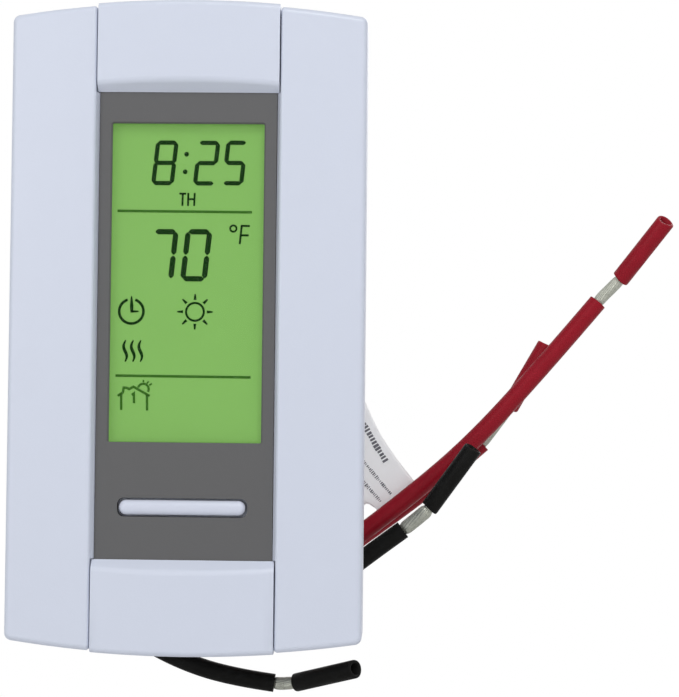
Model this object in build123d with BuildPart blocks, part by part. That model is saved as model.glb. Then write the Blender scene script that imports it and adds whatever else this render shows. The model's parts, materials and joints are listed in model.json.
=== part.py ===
"""Line-voltage programmable wall thermostat with four stripped supply and load leads.

Millimetres. +Z is up, the display faces -Y, and the plane y = 0 is the wall. The origin lies on
the wall, halfway between the two mounting screws. A height h is a distance in front of the wall,
so a piece that starts at height h is sketched on Plane.XZ.offset(h) and grows towards the room.
"""

import math
import os

from build123d import *

# ---------------------------------------------------------------- casing
BODY_WIDTH = 70.0
SIDE_HEIGHT = 122.7  # along the two straight sides
END_RISE = 2.4  # the top and bottom edges bow outwards by this much
BODY_DEPTH = 24.0  # wall to the middle of the crowned front
CROWN_RADIUS = 250.0  # the front is bowed about a vertical axis
PLAN_CORNER = 1.5
FRONT_EDGE = 1.2
PARTING_HEIGHT = 9.3  # the control module starts here
CASE_WALL = 2.0
FRONT_WALL = 2.2

# ---------------------------------------------------------------- centre column
COLUMN_WIDTH = 36.2
COLUMN_WALL = 1.6
COLUMN_WALL_FOOT = 15.0  # the column's side walls reach down to this height
SEAM_EDGE = 0.6
PANEL_WIDTH = 35.0
PANEL_TOP = 46.2
PANEL_BOTTOM = -45.4
PANEL_FACE = 21.6
PANEL_THICKNESS = 2.0
PANEL_LAP = 1.3  # the panel runs this far under the trims above and below it
SHOULDER_RISE = 1.4  # the wings slope in over this height beside the panel
DECK_THICKNESS = 1.5
DECK_LEDGE = 1.0  # the deck carries this much of the panel's two ends
RIB_ROWS = (-30.0, 0.0, 30.0)
RIB_THICKNESS = 1.0
RIB_FOOT = 17.5
VENT_COUNT = 4
VENT_FIRST_X = 23.0
VENT_PITCH = 2.6
VENT_WIDTH = 1.3
VENT_FOOT = 14.8
VENT_HEIGHT = 5.0

# ---------------------------------------------------------------- fits
SLIDE_GAP = 0.15  # beside a key in its opening
SEAT_GAP = 0.1  # between pieces of one assembly that rest on each other
DOOR_GAP = 0.25  # beside the door
SEAM_GAP = 0.15  # under the free edges of the door and the trim
PARTING_GAP = 0.3  # between the control module and the base
OVERCUT = 1.0  # a cutter runs this far past the face it opens
ROOT_LAP = 0.1  # a rib runs this far into the wall it stands on

# ---------------------------------------------------------------- trims
TRIM_THICKNESS = 1.8
TRIM_PROUD = 0.5  # the top trim stands past the end of the casing
TRIM_RETURN_FOOT = 12.6  # its turned-down end stops here
DOOR_PROUD = 0.3
DOOR_RETURN_FOOT = 18.0
DOOR_RETURN = 1.6
DOOR_END_EDGE = 1.2
EDGE_BAR = 2.0

# ---------------------------------------------------------------- door hinge
HINGE_HEIGHT = 20.8
HINGE_Z = -61.2
HINGE_PIN = 1.8
HINGE_PIN_GAP = 0.1
HINGE_PIN_REACH = 1.1
HINGE_LUG = 1.6
HINGE_SWEEP = 4.4  # nothing of the casing lies nearer to the pin than this
RISER = 1.1  # wall between the hinge pocket and the keys

TRIM_LEG_X = 11.0
TRIM_LEG_Z = 55.0
TRIM_LEG_WIDTH = 5.0
TRIM_LEG = 1.4
TRIM_LEG_HOOK = 0.7
TRIM_LEG_REACH = 1.6

# ---------------------------------------------------------------- display
WINDOW_WIDTH = 29.9
WINDOW_TOP = 40.1
WINDOW_BOTTOM = -22.5
WINDOW_CORNER = 0.3
WINDOW_BEVEL = 0.3
FRAME_DEPTH = 3.0
FRAME_WALL = 1.2
LENS_THICKNESS = 1.0
LENS_RECESS = 0.8
LENS_LEDGE = 1.2
LCD_THICKNESS = 2.0
LCD_BORDER = 1.1
LCD_CONTACT_EDGE = 1.2
STRIP_WIDTH = 1.8
LED_COUNT = 4
LED_PITCH = 7.0
LED_WIDTH = 3.0
LED_LENGTH = 1.4
LED_HEIGHT = 0.9
LED_ROW_RISE = 3.0

# ---------------------------------------------------------------- keys
BAR_LENGTH = 24.7
BAR_HEIGHT = 2.9
BAR_CORNER = 0.9
BAR_EDGE = 0.5
BAR_X = -0.3
BAR_Z = -35.2
BAR_PROUD = 0.9
BAR_SLOT_MARGIN = 0.4
BAR_TRAVEL = 0.5
BAR_STEM = 3.4
SWITCH_SIZE = 6.0
SWITCH_HEIGHT = 3.1
SWITCH_PLUNGER = 3.4
SWITCH_PLUNGER_RISE = 0.7
SWITCH_BORE = 1.4
KEY_FLANGE = 0.8
KEY_FLANGE_LIP = 0.7
KEY_WIDTH = 8.4
KEY_HEIGHT = 3.0
KEY_CORNER = 0.6
KEY_EDGE = 0.35
KEY_PITCH_X = 11.2
KEY_PITCH_Z = 4.9
KEY_ROW_Z = -50.9
KEY_COLUMNS = 3
KEY_ROWS = 2
KEY_PROUD = 1.1
KEY_TRAVEL = 0.6
KEY_NAMES = ("key_mode", "key_day", "key_up", "key_hour", "key_minute", "key_down")
MAT_WIDTH = 34.0
MAT_HEIGHT = 10.0
MAT_THICKNESS = 0.8
DOME_LENGTH = 7.0
DOME_WIDTH = 3.2
DOME_TAPER = 12
DOME_GAP = 0.1

# ---------------------------------------------------------------- control board
BOARD_THICKNESS = 1.6
BOARD_CORNER = 1.0
CONTROL_BOARD_BACK = 12.6
CONTROL_BOARD_WIDTH = 58.0
CONTROL_BOARD_HEIGHT = 112.0
MODULE_BACK_HEIGHT = 9.8
MODULE_BACK_THICKNESS = 1.4
POST_DIAMETER = 5.0
POST_X = 25.5
POST_Z = 50.0
MODULE_SCREW_SHANK = 2.2
MODULE_SCREW_BITE = 5.0
MODULE_SCREW_HEAD = 4.0
MODULE_SCREW_HEAD_HEIGHT = 0.4
SCREW_TIP_GAP = 0.3
CHIP_SIZE = 10.0
CHIP_HEIGHT = 1.1
CHIP_STAND_OFF = 0.1
CHIP_X = -8.0
CHIP_Z = -14.0
CHIP_PITCH = 0.8
CHIP_LEADS = 11
CHIP_LEAD = 0.35
CHIP_LEAD_REACH = 1.0
BACKUP_DIAMETER = 9.5
BACKUP_HEIGHT = 2.1
BACKUP_EDGE = 0.5
BACKUP_X = 0.0
BACKUP_Z = 49.5
CRYSTAL_LENGTH = 8.0
CRYSTAL_WIDTH = 2.6
CRYSTAL_HEIGHT = 1.1
CRYSTAL_EDGE = 0.4
CRYSTAL_X = 6.0
CRYSTAL_Z = -14.0
SENSOR_X = -24.5
SENSOR_Z = -55.0
SENSOR_PITCH = 0.9
SENSOR_WIRE = 0.5
SENSOR_RISE = 3.0
SENSOR_BEAD = 1.8
HEADER_PITCH = 2.54
HEADER_COUNT = 8
HEADER_PIN = 0.64
HEADER_BASE = 2.5
HEADER_TIP_HEIGHT = 6.2
HEADER_Z = 10.0

# ---------------------------------------------------------------- power board
POWER_BOARD_BACK = 2.9
POWER_BOARD_WIDTH = 44.0
POWER_BOARD_HEIGHT = 68.0
POWER_POST_X = 19.0
POWER_POST_Z = 31.0
POWER_BOSS = 5.0
POWER_SCREW_SHANK = 2.2
POWER_SCREW_BITE = 2.3
POWER_SCREW_HEAD = 4.2
POWER_SCREW_HEAD_HEIGHT = 1.1
RELAY_Z = 13.0
RELAY_PITCH = 21.0
RELAY_WIDTH = 15.4
RELAY_LENGTH = 20.0
RELAY_DEPTH = 12.0
RELAY_EDGE = 0.4
TRANSFORMER_X = -8.0
TRANSFORMER_Z = -6.6
TRANSFORMER_WIDTH = 20.0
TRANSFORMER_LENGTH = 14.0
TRANSFORMER_DEPTH = 13.0
WINDING_WIDTH = 12.0
WINDING_PROUD = 1.2
FILM_X = 9.0
FILM_WIDTH = 7.0
FILM_LENGTH = 15.0
FILM_DEPTH = 11.0
FILM_EDGE = 0.6
VARISTOR_X = 17.5
VARISTOR_Z = -6.6
VARISTOR_DIAMETER = 10.0
VARISTOR_THICKNESS = 3.6
VARISTOR_RISE = 1.5
SOCKET_WALL = 1.0
SOCKET_HEIGHT = 4.4
SOCKET_RISE = 4.2
SOCKET_FLOOR = 0.9
SOCKET_CAVITY = 1.8

# ---------------------------------------------------------------- base
BASE_INSET = 1.0
BASE_THICKNESS = 2.2
BASE_WALL = 1.8
BASE_RIB = 1.2
BASE_RIB_REACH = 4.0
BASE_RIB_HEIGHT = 7.0
BASE_RIB_ROWS = (-50.0, -20.0, 20.0, 50.0)
REAR_BOX_WIDTH = 47.0
REAR_BOX_HEIGHT = 56.0
REAR_BOX_DEPTH = 15.0
REAR_BOX_WALL = 1.8
REAR_BOX_CORNER = 1.5
REAR_BOX_EDGE = 1.2
COVER_HEIGHT = 7.0
COVER_THICKNESS = 1.4
COVER_WIDTH = 57.0
COVER_LENGTH = 74.0
COVER_CORNER = 2.0
COVER_POST = 4.6
COVER_POST_X = 25.6
COVER_POST_Z = 33.6
COVER_SCREW_BITE = 4.0
COVER_SLOT_GAP = 0.4
SCREW_SPACING = 83.3
SCREW_HOLE = 4.6
SCREW_BOSS = 9.0
SCREW_BOSS_RISE = 1.0

# ---------------------------------------------------------------- tilt of the control module
TILT_TAB_X = 21.0
TILT_TAB_WIDTH = 7.0
TILT_TAB = 1.3
TILT_TAB_INSET = 1.2
TILT_TAB_TOP = 12.6
TILT_LIP = 1.1
TILT_LIP_THICKNESS = 1.2
TILT_SLOT_FOOT = 10.0
TILT_SLOT_HEIGHT = 3.6
TILT_NOTCH_GAP = 1.0
TILT_SLOT_GAP = 0.5
TILT_NOTCH_DEPTH = 4.0
LUG_WIDTH = 9.0
LUG_THICKNESS = 3.0
LUG_TOP = 14.0
LUG_NOTCH_DEPTH = 7.0
CAPTIVE_HEIGHT = 11.2
CAPTIVE_SHANK = 3.0
CAPTIVE_HEAD = 5.6
CAPTIVE_HEAD_HEIGHT = 1.5
CAPTIVE_RECESS = 1.2
CAPTIVE_CLAMP_GAP = 0.25
CAPTIVE_SHANK_GAP = 0.2
CAPTIVE_HEAD_GAP = 0.3
CAPTIVE_TIP = 0.8
CAPTIVE_SLOT = 0.8

# ---------------------------------------------------------------- leads
LEAD_DIAMETER = 3.8
CONDUCTOR_DIAMETER = 2.2
SLEEVE_BORE = 2.4
SLEEVE_LENGTH = 16.0
KNEE_REACH = 3.0
STRAND_SHARE = 0.8  # the strands fill this much of the sleeve
BUSHING_FLANGE = 5.6
BUSHING_FLANGE_THICKNESS = 2.0
BUSHING_CHAMFER = 0.4
BUSHING_BODY = 5.0
TAIL_BEND = 3.0
FRONT_ROW_Y = 5.2
REAR_ROW_Y = 10.2
FRONT_ROW_TURN_Z = -23.4
REAR_ROW_TURN_Z = -17.4
ARC_SHARE = 0.45  # each arc takes this share of the shorter run beside it
LEAD_ROUTES = {
    "red_front": [
        (-9.6, REAR_ROW_Y, -30.0),
        (-9.6, REAR_ROW_Y, -39.3),
        (-5.5, 10.2, -47.7),
        (1.8, 10.2, -53.4),
        (10.9, 10.3, -55.3),
        (19.9, 10.4, -53.1),
        (28.5, 10.5, -46.0),
        (44.9, 10.5, -33.3),
        (58.0, 10.5, -21.8),
        (73.1, 10.5, -4.8),
        (83.4, 10.5, 7.5),
    ],
    "red_rear": [
        (-16.0, REAR_ROW_Y, -30.0),
        (-16.0, REAR_ROW_Y, -39.5),
        (-12.1, 10.4, -48.3),
        (-4.7, 11.4, -55.0),
        (5.3, 13.4, -58.1),
        (15.7, 15.2, -56.6),
        (28.5, 15.9, -46.8),
        (44.9, 15.9, -34.6),
        (60.3, 15.9, -23.8),
    ],
    "black_side": [
        (-3.1, FRONT_ROW_Y, -30.0),
        (-3.1, FRONT_ROW_Y, -39.3),
        (1.0, 5.2, -47.7),
        (8.3, 5.3, -53.4),
        (17.4, 5.5, -55.3),
        (26.4, 5.8, -53.1),
        (34.6, 6.0, -46.6),
        (42.9, 6.0, -40.5),
    ],
    "black_lower": [
        (-19.0, FRONT_ROW_Y, -30.0),
        (-19.0, FRONT_ROW_Y, -37.5),
        (-20.8, 5.2, -46.0),
        (-18.8, 5.3, -55.3),
        (-13.0, 5.5, -62.9),
        (-3.4, 5.8, -68.1),
        (7.2, 6.0, -71.4),
        (16.5, 6.0, -72.6),
    ],
}
SLEEVE_TIPS = {
    "red_front": (98.1, 5.0, 24.8),
    "red_rear": (72.4, 14.5, -1.0),
    "black_side": (57.1, 3.5, -23.4),
    "black_lower": (34.0, -1.5, -68.8),
}
TAG_START = 1.5
TAG_WRAP = 4.5
TAG_GAP = 0.1
TAG_THICKNESS = 0.35
TAG_OUTLINE = (
    (46.0, -31.9),
    (38.2, -38.0),
    (37.2, -36.5),
    (35.3, -35.3),
    (33.8, -36.6),
    (33.2, -42.2),
    (30.2, -44.6),
    (26.0, -38.0),
    (25.0, -12.0),
    (31.8, -7.0),
)
TAG_EDGE_BOW = (37.5, -20.0)

# worked out from the sizes above
HALF_WIDTH = BODY_WIDTH / 2
HALF_SIDE = SIDE_HEIGHT / 2
HALF_HEIGHT = HALF_SIDE + END_RISE
HALF_COLUMN = COLUMN_WIDTH / 2
HALF_PANEL = PANEL_WIDTH / 2
MODULE_DEPTH = BODY_DEPTH - PARTING_HEIGHT
PANEL_BACK = PANEL_FACE - PANEL_THICKNESS
DECK_FACE = PANEL_BACK - SEAT_GAP
DECK_BACK = DECK_FACE - DECK_THICKNESS
CONTROL_BOARD_FACE = CONTROL_BOARD_BACK + BOARD_THICKNESS
POWER_BOARD_FACE = POWER_BOARD_BACK + BOARD_THICKNESS
DOOR_WIDTH = COLUMN_WIDTH - 2 * DOOR_GAP
EXIT_Z = -REAR_BOX_HEIGHT / 2
TUBE_START_Z = EXIT_Z - BUSHING_FLANGE_THICKNESS

pieces = {}


def keep(name, part):
    """Labels a finished piece and keeps it for export."""
    part.label = name
    pieces[name] = part


def crown_drop(x):
    """How far the crowned front falls away from its middle at a distance x."""
    return CROWN_RADIUS - math.sqrt(CROWN_RADIUS**2 - x**2)


def casing_outline(inset, corner=PLAN_CORNER):
    """Front view of the casing: straight sides, bowed top and bottom; a negative inset grows it."""
    half_w = HALF_WIDTH - inset
    bow = HALF_HEIGHT - inset
    side = HALF_SIDE - inset
    with BuildSketch() as outline:
        with BuildLine():
            Line((half_w, -side), (half_w, side))
            ThreePointArc((half_w, side), (0, bow), (-half_w, side))
            Line((-half_w, side), (-half_w, -side))
            ThreePointArc((-half_w, -side), (0, -bow), (half_w, -side))
        make_face()
        fillet(outline.vertices(), corner)
    return outline.sketch


def crown_section(drop):
    """Plan section of everything behind the crowned front, lowered by drop."""
    radius = CROWN_RADIUS - drop
    centre_y = CROWN_RADIUS - BODY_DEPTH
    reach = HALF_WIDTH + 3 * OVERCUT
    edge_y = centre_y - math.sqrt(radius**2 - reach**2)
    with BuildSketch() as section:
        with BuildLine():
            ThreePointArc((-reach, edge_y), (0, centre_y - radius), (reach, edge_y))
            Polyline((reach, edge_y), (reach, 5), (-reach, 5), (-reach, edge_y))
        make_face()
    return section.sketch


def crowned_block(inset, start, drop):
    """The casing's outline carried from a height up to the crowned front."""
    with BuildPart() as block:
        with BuildSketch(Plane.XZ.offset(start)):
            add(casing_outline(inset))
        extrude(amount=BODY_DEPTH - start + OVERCUT)
        with BuildSketch(Plane.XY):
            add(crown_section(drop))
        extrude(amount=HALF_HEIGHT + 3 * OVERCUT, both=True, mode=Mode.INTERSECT)
    return block.part


def slab(x0, x1, z0, z1, h0, h1):
    """A rectangular block between two heights, used as a cutter or a rib."""
    with BuildPart() as block:
        with BuildSketch(Plane.XZ.offset(h0)):
            with Locations(((x0 + x1) / 2, (z0 + z1) / 2)):
                Rectangle(x1 - x0, z1 - z0)
        extrude(amount=h1 - h0)
    return block.part


def side_profile(points, half_length):
    """A block with a (height, z) profile, carried across the width."""
    with BuildPart() as block:
        with BuildSketch(Plane.YZ):
            with BuildLine():
                Polyline(*[(-h, z) for h, z in points], close=True)
            make_face()
        extrude(amount=half_length, both=True)
    return block.part


# ================================================================ front housing
wing_inner = HALF_COLUMN + COLUMN_WALL
pocket_end = HINGE_Z + HINGE_SWEEP
well_floor = HINGE_HEIGHT - HINGE_SWEEP
beyond = HALF_HEIGHT + 3 * OVERCUT
above = BODY_DEPTH + 2 * OVERCUT
tab_half = TILT_TAB_WIDTH / 2 + TILT_SLOT_GAP
vent_end = HALF_SIDE - CASE_WALL - OVERCUT
screw_notch_half = CAPTIVE_SHANK / 2 + CAPTIVE_SHANK_GAP
head_notch_half = CAPTIVE_HEAD / 2 + CAPTIVE_HEAD_GAP
head_seat = -HALF_HEIGHT + CAPTIVE_RECESS

with BuildPart() as wing_hollow:
    add(crowned_block(CASE_WALL, COLUMN_WALL_FOOT, FRONT_WALL))
    add(slab(-wing_inner, wing_inner, -beyond, beyond, 0, above), mode=Mode.SUBTRACT)

with BuildPart() as trim_seat:
    add(slab(-HALF_COLUMN, HALF_COLUMN, HALF_SIDE - 6, beyond, TRIM_RETURN_FOOT - 2 * SEAM_GAP, above))
    with BuildSketch(Plane.XZ.offset(PARTING_HEIGHT)):
        add(casing_outline(TRIM_THICKNESS - TRIM_PROUD + SEAT_GAP))
    extrude(amount=MODULE_DEPTH + OVERCUT, mode=Mode.SUBTRACT)

with BuildPart() as front_housing:
    add(crowned_block(0, PARTING_HEIGHT, 0))
    fillet(front_housing.faces().sort_by(Axis.Y)[0].edges(), FRONT_EDGE)
    # the column's well, down to the deck, and deeper round the door's hinge
    add(slab(-HALF_COLUMN, HALF_COLUMN, -beyond, beyond, DECK_FACE, above), mode=Mode.SUBTRACT)
    fillet(
        front_housing.edges()
        .filter_by(Axis.Z)
        .filter_by(lambda e: abs(abs(e.center().X) - HALF_COLUMN) < 0.01 and e.length > BODY_WIDTH)
        .group_by(Axis.Y)[0],
        SEAM_EDGE,
    )
    add(slab(-HALF_COLUMN, HALF_COLUMN, -beyond, pocket_end, well_floor, above), mode=Mode.SUBTRACT)
    add(trim_seat.part, mode=Mode.SUBTRACT)
    # the open back, and the hollows of the two wings
    with BuildSketch(Plane.XZ.offset(PARTING_HEIGHT)):
        add(casing_outline(CASE_WALL))
    extrude(amount=COLUMN_WALL_FOOT - PARTING_HEIGHT, mode=Mode.SUBTRACT)
    add(wing_hollow.part, mode=Mode.SUBTRACT)
    # behind the deck, as far as the riser of the hinge pocket
    behind_deck = pocket_end + RISER, HALF_SIDE - CASE_WALL
    add(slab(-HALF_COLUMN, HALF_COLUMN, *behind_deck, PARTING_HEIGHT, DECK_BACK), mode=Mode.SUBTRACT)
    # the display opening
    display_opening = PANEL_BOTTOM + DECK_LEDGE, PANEL_TOP - DECK_LEDGE
    add(slab(-HALF_PANEL, HALF_PANEL, *display_opening, PARTING_HEIGHT, above), mode=Mode.SUBTRACT)
    # shoulders that slope from the wings down to the panel
    for side in (1, -1):
        with BuildSketch(Plane.XY.offset(PANEL_BOTTOM + SEAM_GAP)):
            with BuildLine():
                Polyline(
                    (side * (HALF_COLUMN + 0.2), -DECK_BACK),
                    (side * HALF_PANEL, -DECK_BACK),
                    (side * HALF_PANEL, -PANEL_FACE),
                    (side * HALF_COLUMN, -PANEL_FACE - SHOULDER_RISE),
                    (side * (HALF_COLUMN + 0.2), -PANEL_FACE - SHOULDER_RISE),
                    close=True,
                )
            make_face()
        extrude(amount=PANEL_TOP - PANEL_BOTTOM - 2 * SEAM_GAP)
    # posts for the control board and its back plate
    with BuildSketch(Plane.XZ.offset(CONTROL_BOARD_FACE + SEAT_GAP)):
        with GridLocations(2 * POST_X, 2 * POST_Z, 2, 2):
            Circle(POST_DIAMETER / 2)
    extrude(amount=BODY_DEPTH - FRONT_WALL - crown_drop(POST_X) - CONTROL_BOARD_FACE)
    with BuildSketch(Plane.XZ.offset(CONTROL_BOARD_FACE + SEAT_GAP)):
        with GridLocations(2 * POST_X, 2 * POST_Z, 2, 2):
            Circle(MODULE_SCREW_SHANK / 2 + SEAT_GAP)
    extrude(amount=MODULE_SCREW_BITE, mode=Mode.SUBTRACT)
    # stiffening ribs across each wing
    for side in (1, -1):
        for rib_z in RIB_ROWS:
            add(
                slab(
                    min(side * wing_inner, side * (HALF_WIDTH - CASE_WALL)) - ROOT_LAP,
                    max(side * wing_inner, side * (HALF_WIDTH - CASE_WALL)) + ROOT_LAP,
                    rib_z - RIB_THICKNESS / 2,
                    rib_z + RIB_THICKNESS / 2,
                    RIB_FOOT,
                    BODY_DEPTH - FRONT_WALL - crown_drop(HALF_WIDTH - CASE_WALL),
                )
            )
    # air slots through the top and bottom ends of both wings
    for side in (1, -1):
        for slot in range(VENT_COUNT):
            vent_x = side * (VENT_FIRST_X + slot * VENT_PITCH)
            for end in (1, -1):
                add(
                    slab(
                        vent_x - VENT_WIDTH / 2,
                        vent_x + VENT_WIDTH / 2,
                        min(end * vent_end, end * beyond),
                        max(end * vent_end, end * beyond),
                        VENT_FOOT,
                        VENT_FOOT + VENT_HEIGHT,
                    ),
                    mode=Mode.SUBTRACT,
                )
    # slots for the base's tabs, and the notch for the captive screw
    for side in (1, -1):
        add(
            slab(
                side * TILT_TAB_X - tab_half,
                side * TILT_TAB_X + tab_half,
                vent_end,
                beyond,
                TILT_SLOT_FOOT,
                TILT_SLOT_FOOT + TILT_SLOT_HEIGHT,
            ),
            mode=Mode.SUBTRACT,
        )
    add(
        slab(
            -screw_notch_half,
            screw_notch_half,
            -beyond,
            -HALF_HEIGHT + CASE_WALL + OVERCUT,
            0,
            CAPTIVE_HEIGHT + screw_notch_half,
        ),
        mode=Mode.SUBTRACT,
    )
    add(
        slab(
            -head_notch_half,
            head_notch_half,
            -beyond,
            head_seat,
            0,
            CAPTIVE_HEIGHT + head_notch_half,
        ),
        mode=Mode.SUBTRACT,
    )
    # holes for the door's hinge pins
    with BuildSketch(Plane.YZ.offset(-wing_inner - OVERCUT)):
        with Locations((-HINGE_HEIGHT, HINGE_Z)):
            Circle(HINGE_PIN / 2 + HINGE_PIN_GAP)
    extrude(amount=2 * (wing_inner + OVERCUT), mode=Mode.SUBTRACT)
    # key openings in the deck behind the door
    with BuildSketch(Plane.XZ.offset(DECK_BACK - OVERCUT)):
        with Locations((0, KEY_ROW_Z)):
            with GridLocations(KEY_PITCH_X, KEY_PITCH_Z, KEY_COLUMNS, KEY_ROWS):
                RectangleRounded(
                    KEY_WIDTH + 2 * SLIDE_GAP, KEY_HEIGHT + 2 * SLIDE_GAP, KEY_CORNER + SLIDE_GAP
                )
    extrude(amount=DECK_THICKNESS + 2 * OVERCUT, mode=Mode.SUBTRACT)
    # sockets for the trim's snap legs
    for side in (1, -1):
        add(
            slab(
                side * TRIM_LEG_X - TRIM_LEG_WIDTH / 2 - SLIDE_GAP,
                side * TRIM_LEG_X + TRIM_LEG_WIDTH / 2 + SLIDE_GAP,
                TRIM_LEG_Z - TRIM_LEG / 2 - SLIDE_GAP,
                TRIM_LEG_Z + TRIM_LEG / 2 + SLIDE_GAP + TRIM_LEG_HOOK,
                DECK_BACK - OVERCUT,
                DECK_FACE + OVERCUT,
            ),
            mode=Mode.SUBTRACT,
        )
keep("front_housing", front_housing.part)


# ================================================================ top trim
def column_cap(half_width, proud, foot, free_edge, far_edge, thickness, return_thickness):
    """A crowned cap with a turned-down end, open at the back, before its free edge is bevelled."""
    low = min(free_edge, far_edge)
    high = max(free_edge, far_edge)
    with BuildPart() as inside:
        with BuildSketch(Plane.XZ.offset(foot - OVERCUT)):
            add(casing_outline(return_thickness - proud))
        extrude(amount=BODY_DEPTH)
        with BuildSketch(Plane.XY):
            add(crown_section(thickness))
        extrude(amount=beyond, both=True, mode=Mode.INTERSECT)
    with BuildPart() as cap:
        add(crowned_block(-proud, foot, 0))
        fillet(cap.faces().sort_by(Axis.Y)[0].edges(), DOOR_END_EDGE)
        add(slab(-half_width, half_width, low, high, 0, above), mode=Mode.INTERSECT)
        add(inside.part, mode=Mode.SUBTRACT)
    return cap.part


def edge_bevel(z_edge, direction, half_width):
    """The 45 degree cut along a cap's free edge, from the panel's face up to the crown."""
    foot = PANEL_FACE + SEAM_GAP
    rise = BODY_DEPTH + OVERCUT - foot
    off_edge = z_edge - direction * OVERCUT
    points = (
        (foot, z_edge),
        (foot + rise, z_edge + direction * rise),
        (foot + rise, off_edge),
        (foot, off_edge),
    )
    return side_profile(points, half_width + OVERCUT)


def edge_bar(z_edge, direction, half_width):
    """The thick bar behind a cap's free edge, down to the panel's face."""
    foot = PANEL_FACE + SEAM_GAP
    z_far = z_edge + direction * EDGE_BAR
    with BuildPart() as bar:
        add(crowned_block(0, foot, TRIM_THICKNESS / 2))
        add(
            slab(-half_width, half_width, min(z_edge, z_far), max(z_edge, z_far), 0, above),
            mode=Mode.INTERSECT,
        )
    return bar.part


cap_half = DOOR_WIDTH / 2
with BuildPart() as top_trim:
    add(
        column_cap(
            cap_half, TRIM_PROUD, TRIM_RETURN_FOOT, PANEL_TOP, beyond, TRIM_THICKNESS, TRIM_THICKNESS
        )
    )
    add(edge_bar(PANEL_TOP, 1, cap_half))
    add(edge_bevel(PANEL_TOP, 1, cap_half), mode=Mode.SUBTRACT)
    # two snap legs that reach through the deck, with hooks under it
    for side in (1, -1):
        add(
            slab(
                side * TRIM_LEG_X - TRIM_LEG_WIDTH / 2,
                side * TRIM_LEG_X + TRIM_LEG_WIDTH / 2,
                TRIM_LEG_Z - TRIM_LEG / 2,
                TRIM_LEG_Z + TRIM_LEG / 2,
                DECK_BACK - TRIM_LEG_REACH,
                BODY_DEPTH - TRIM_THICKNESS - crown_drop(TRIM_LEG_X) + 3 * ROOT_LAP,
            )
        )
        add(
            slab(
                side * TRIM_LEG_X - TRIM_LEG_WIDTH / 2,
                side * TRIM_LEG_X + TRIM_LEG_WIDTH / 2,
                TRIM_LEG_Z + TRIM_LEG / 2,
                TRIM_LEG_Z + TRIM_LEG / 2 + TRIM_LEG_HOOK,
                DECK_BACK - TRIM_LEG_REACH,
                DECK_BACK - SEAT_GAP,
            )
        )
keep("top_trim", top_trim.part)


# ================================================================ access door
lug_start = cap_half - HINGE_LUG
with BuildPart() as access_door:
    add(
        column_cap(
            cap_half, DOOR_PROUD, DOOR_RETURN_FOOT, PANEL_BOTTOM, -beyond, TRIM_THICKNESS, DOOR_RETURN
        )
    )
    add(edge_bar(PANEL_BOTTOM, -1, cap_half))
    add(edge_bevel(PANEL_BOTTOM, -1, cap_half), mode=Mode.SUBTRACT)
    # hinge lugs and their pins
    for side in (1, -1):
        with BuildSketch(Plane.YZ.offset(min(side * lug_start, side * cap_half))):
            with BuildLine():
                Polyline(
                    (-HINGE_HEIGHT, HINGE_Z - HINGE_PIN),
                    (-HINGE_HEIGHT - HINGE_PIN, HINGE_Z - HINGE_PIN),
                    (-HINGE_HEIGHT - HINGE_PIN, HINGE_Z + HINGE_PIN),
                    (-HINGE_HEIGHT, HINGE_Z + HINGE_PIN),
                )
                ThreePointArc(
                    (-HINGE_HEIGHT, HINGE_Z + HINGE_PIN),
                    (-HINGE_HEIGHT + HINGE_PIN, HINGE_Z),
                    (-HINGE_HEIGHT, HINGE_Z - HINGE_PIN),
                )
            make_face()
        extrude(amount=HINGE_LUG)
        with BuildSketch(Plane.YZ.offset(min(side * lug_start, side * (cap_half + HINGE_PIN_REACH)))):
            with Locations((-HINGE_HEIGHT, HINGE_Z)):
                Circle(HINGE_PIN / 2)
        extrude(amount=HINGE_LUG + HINGE_PIN_REACH)
keep("access_door", access_door.part)


# ================================================================ display panel
window_height = WINDOW_TOP - WINDOW_BOTTOM
window_z = (WINDOW_TOP + WINDOW_BOTTOM) / 2
lcd_width = WINDOW_WIDTH + 2 * LCD_BORDER
lcd_height = window_height + 2 * LCD_BORDER
lens_back = PANEL_FACE - LENS_RECESS - LENS_THICKNESS
panel_top = PANEL_TOP + PANEL_LAP
panel_bottom = PANEL_BOTTOM - PANEL_LAP

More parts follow.
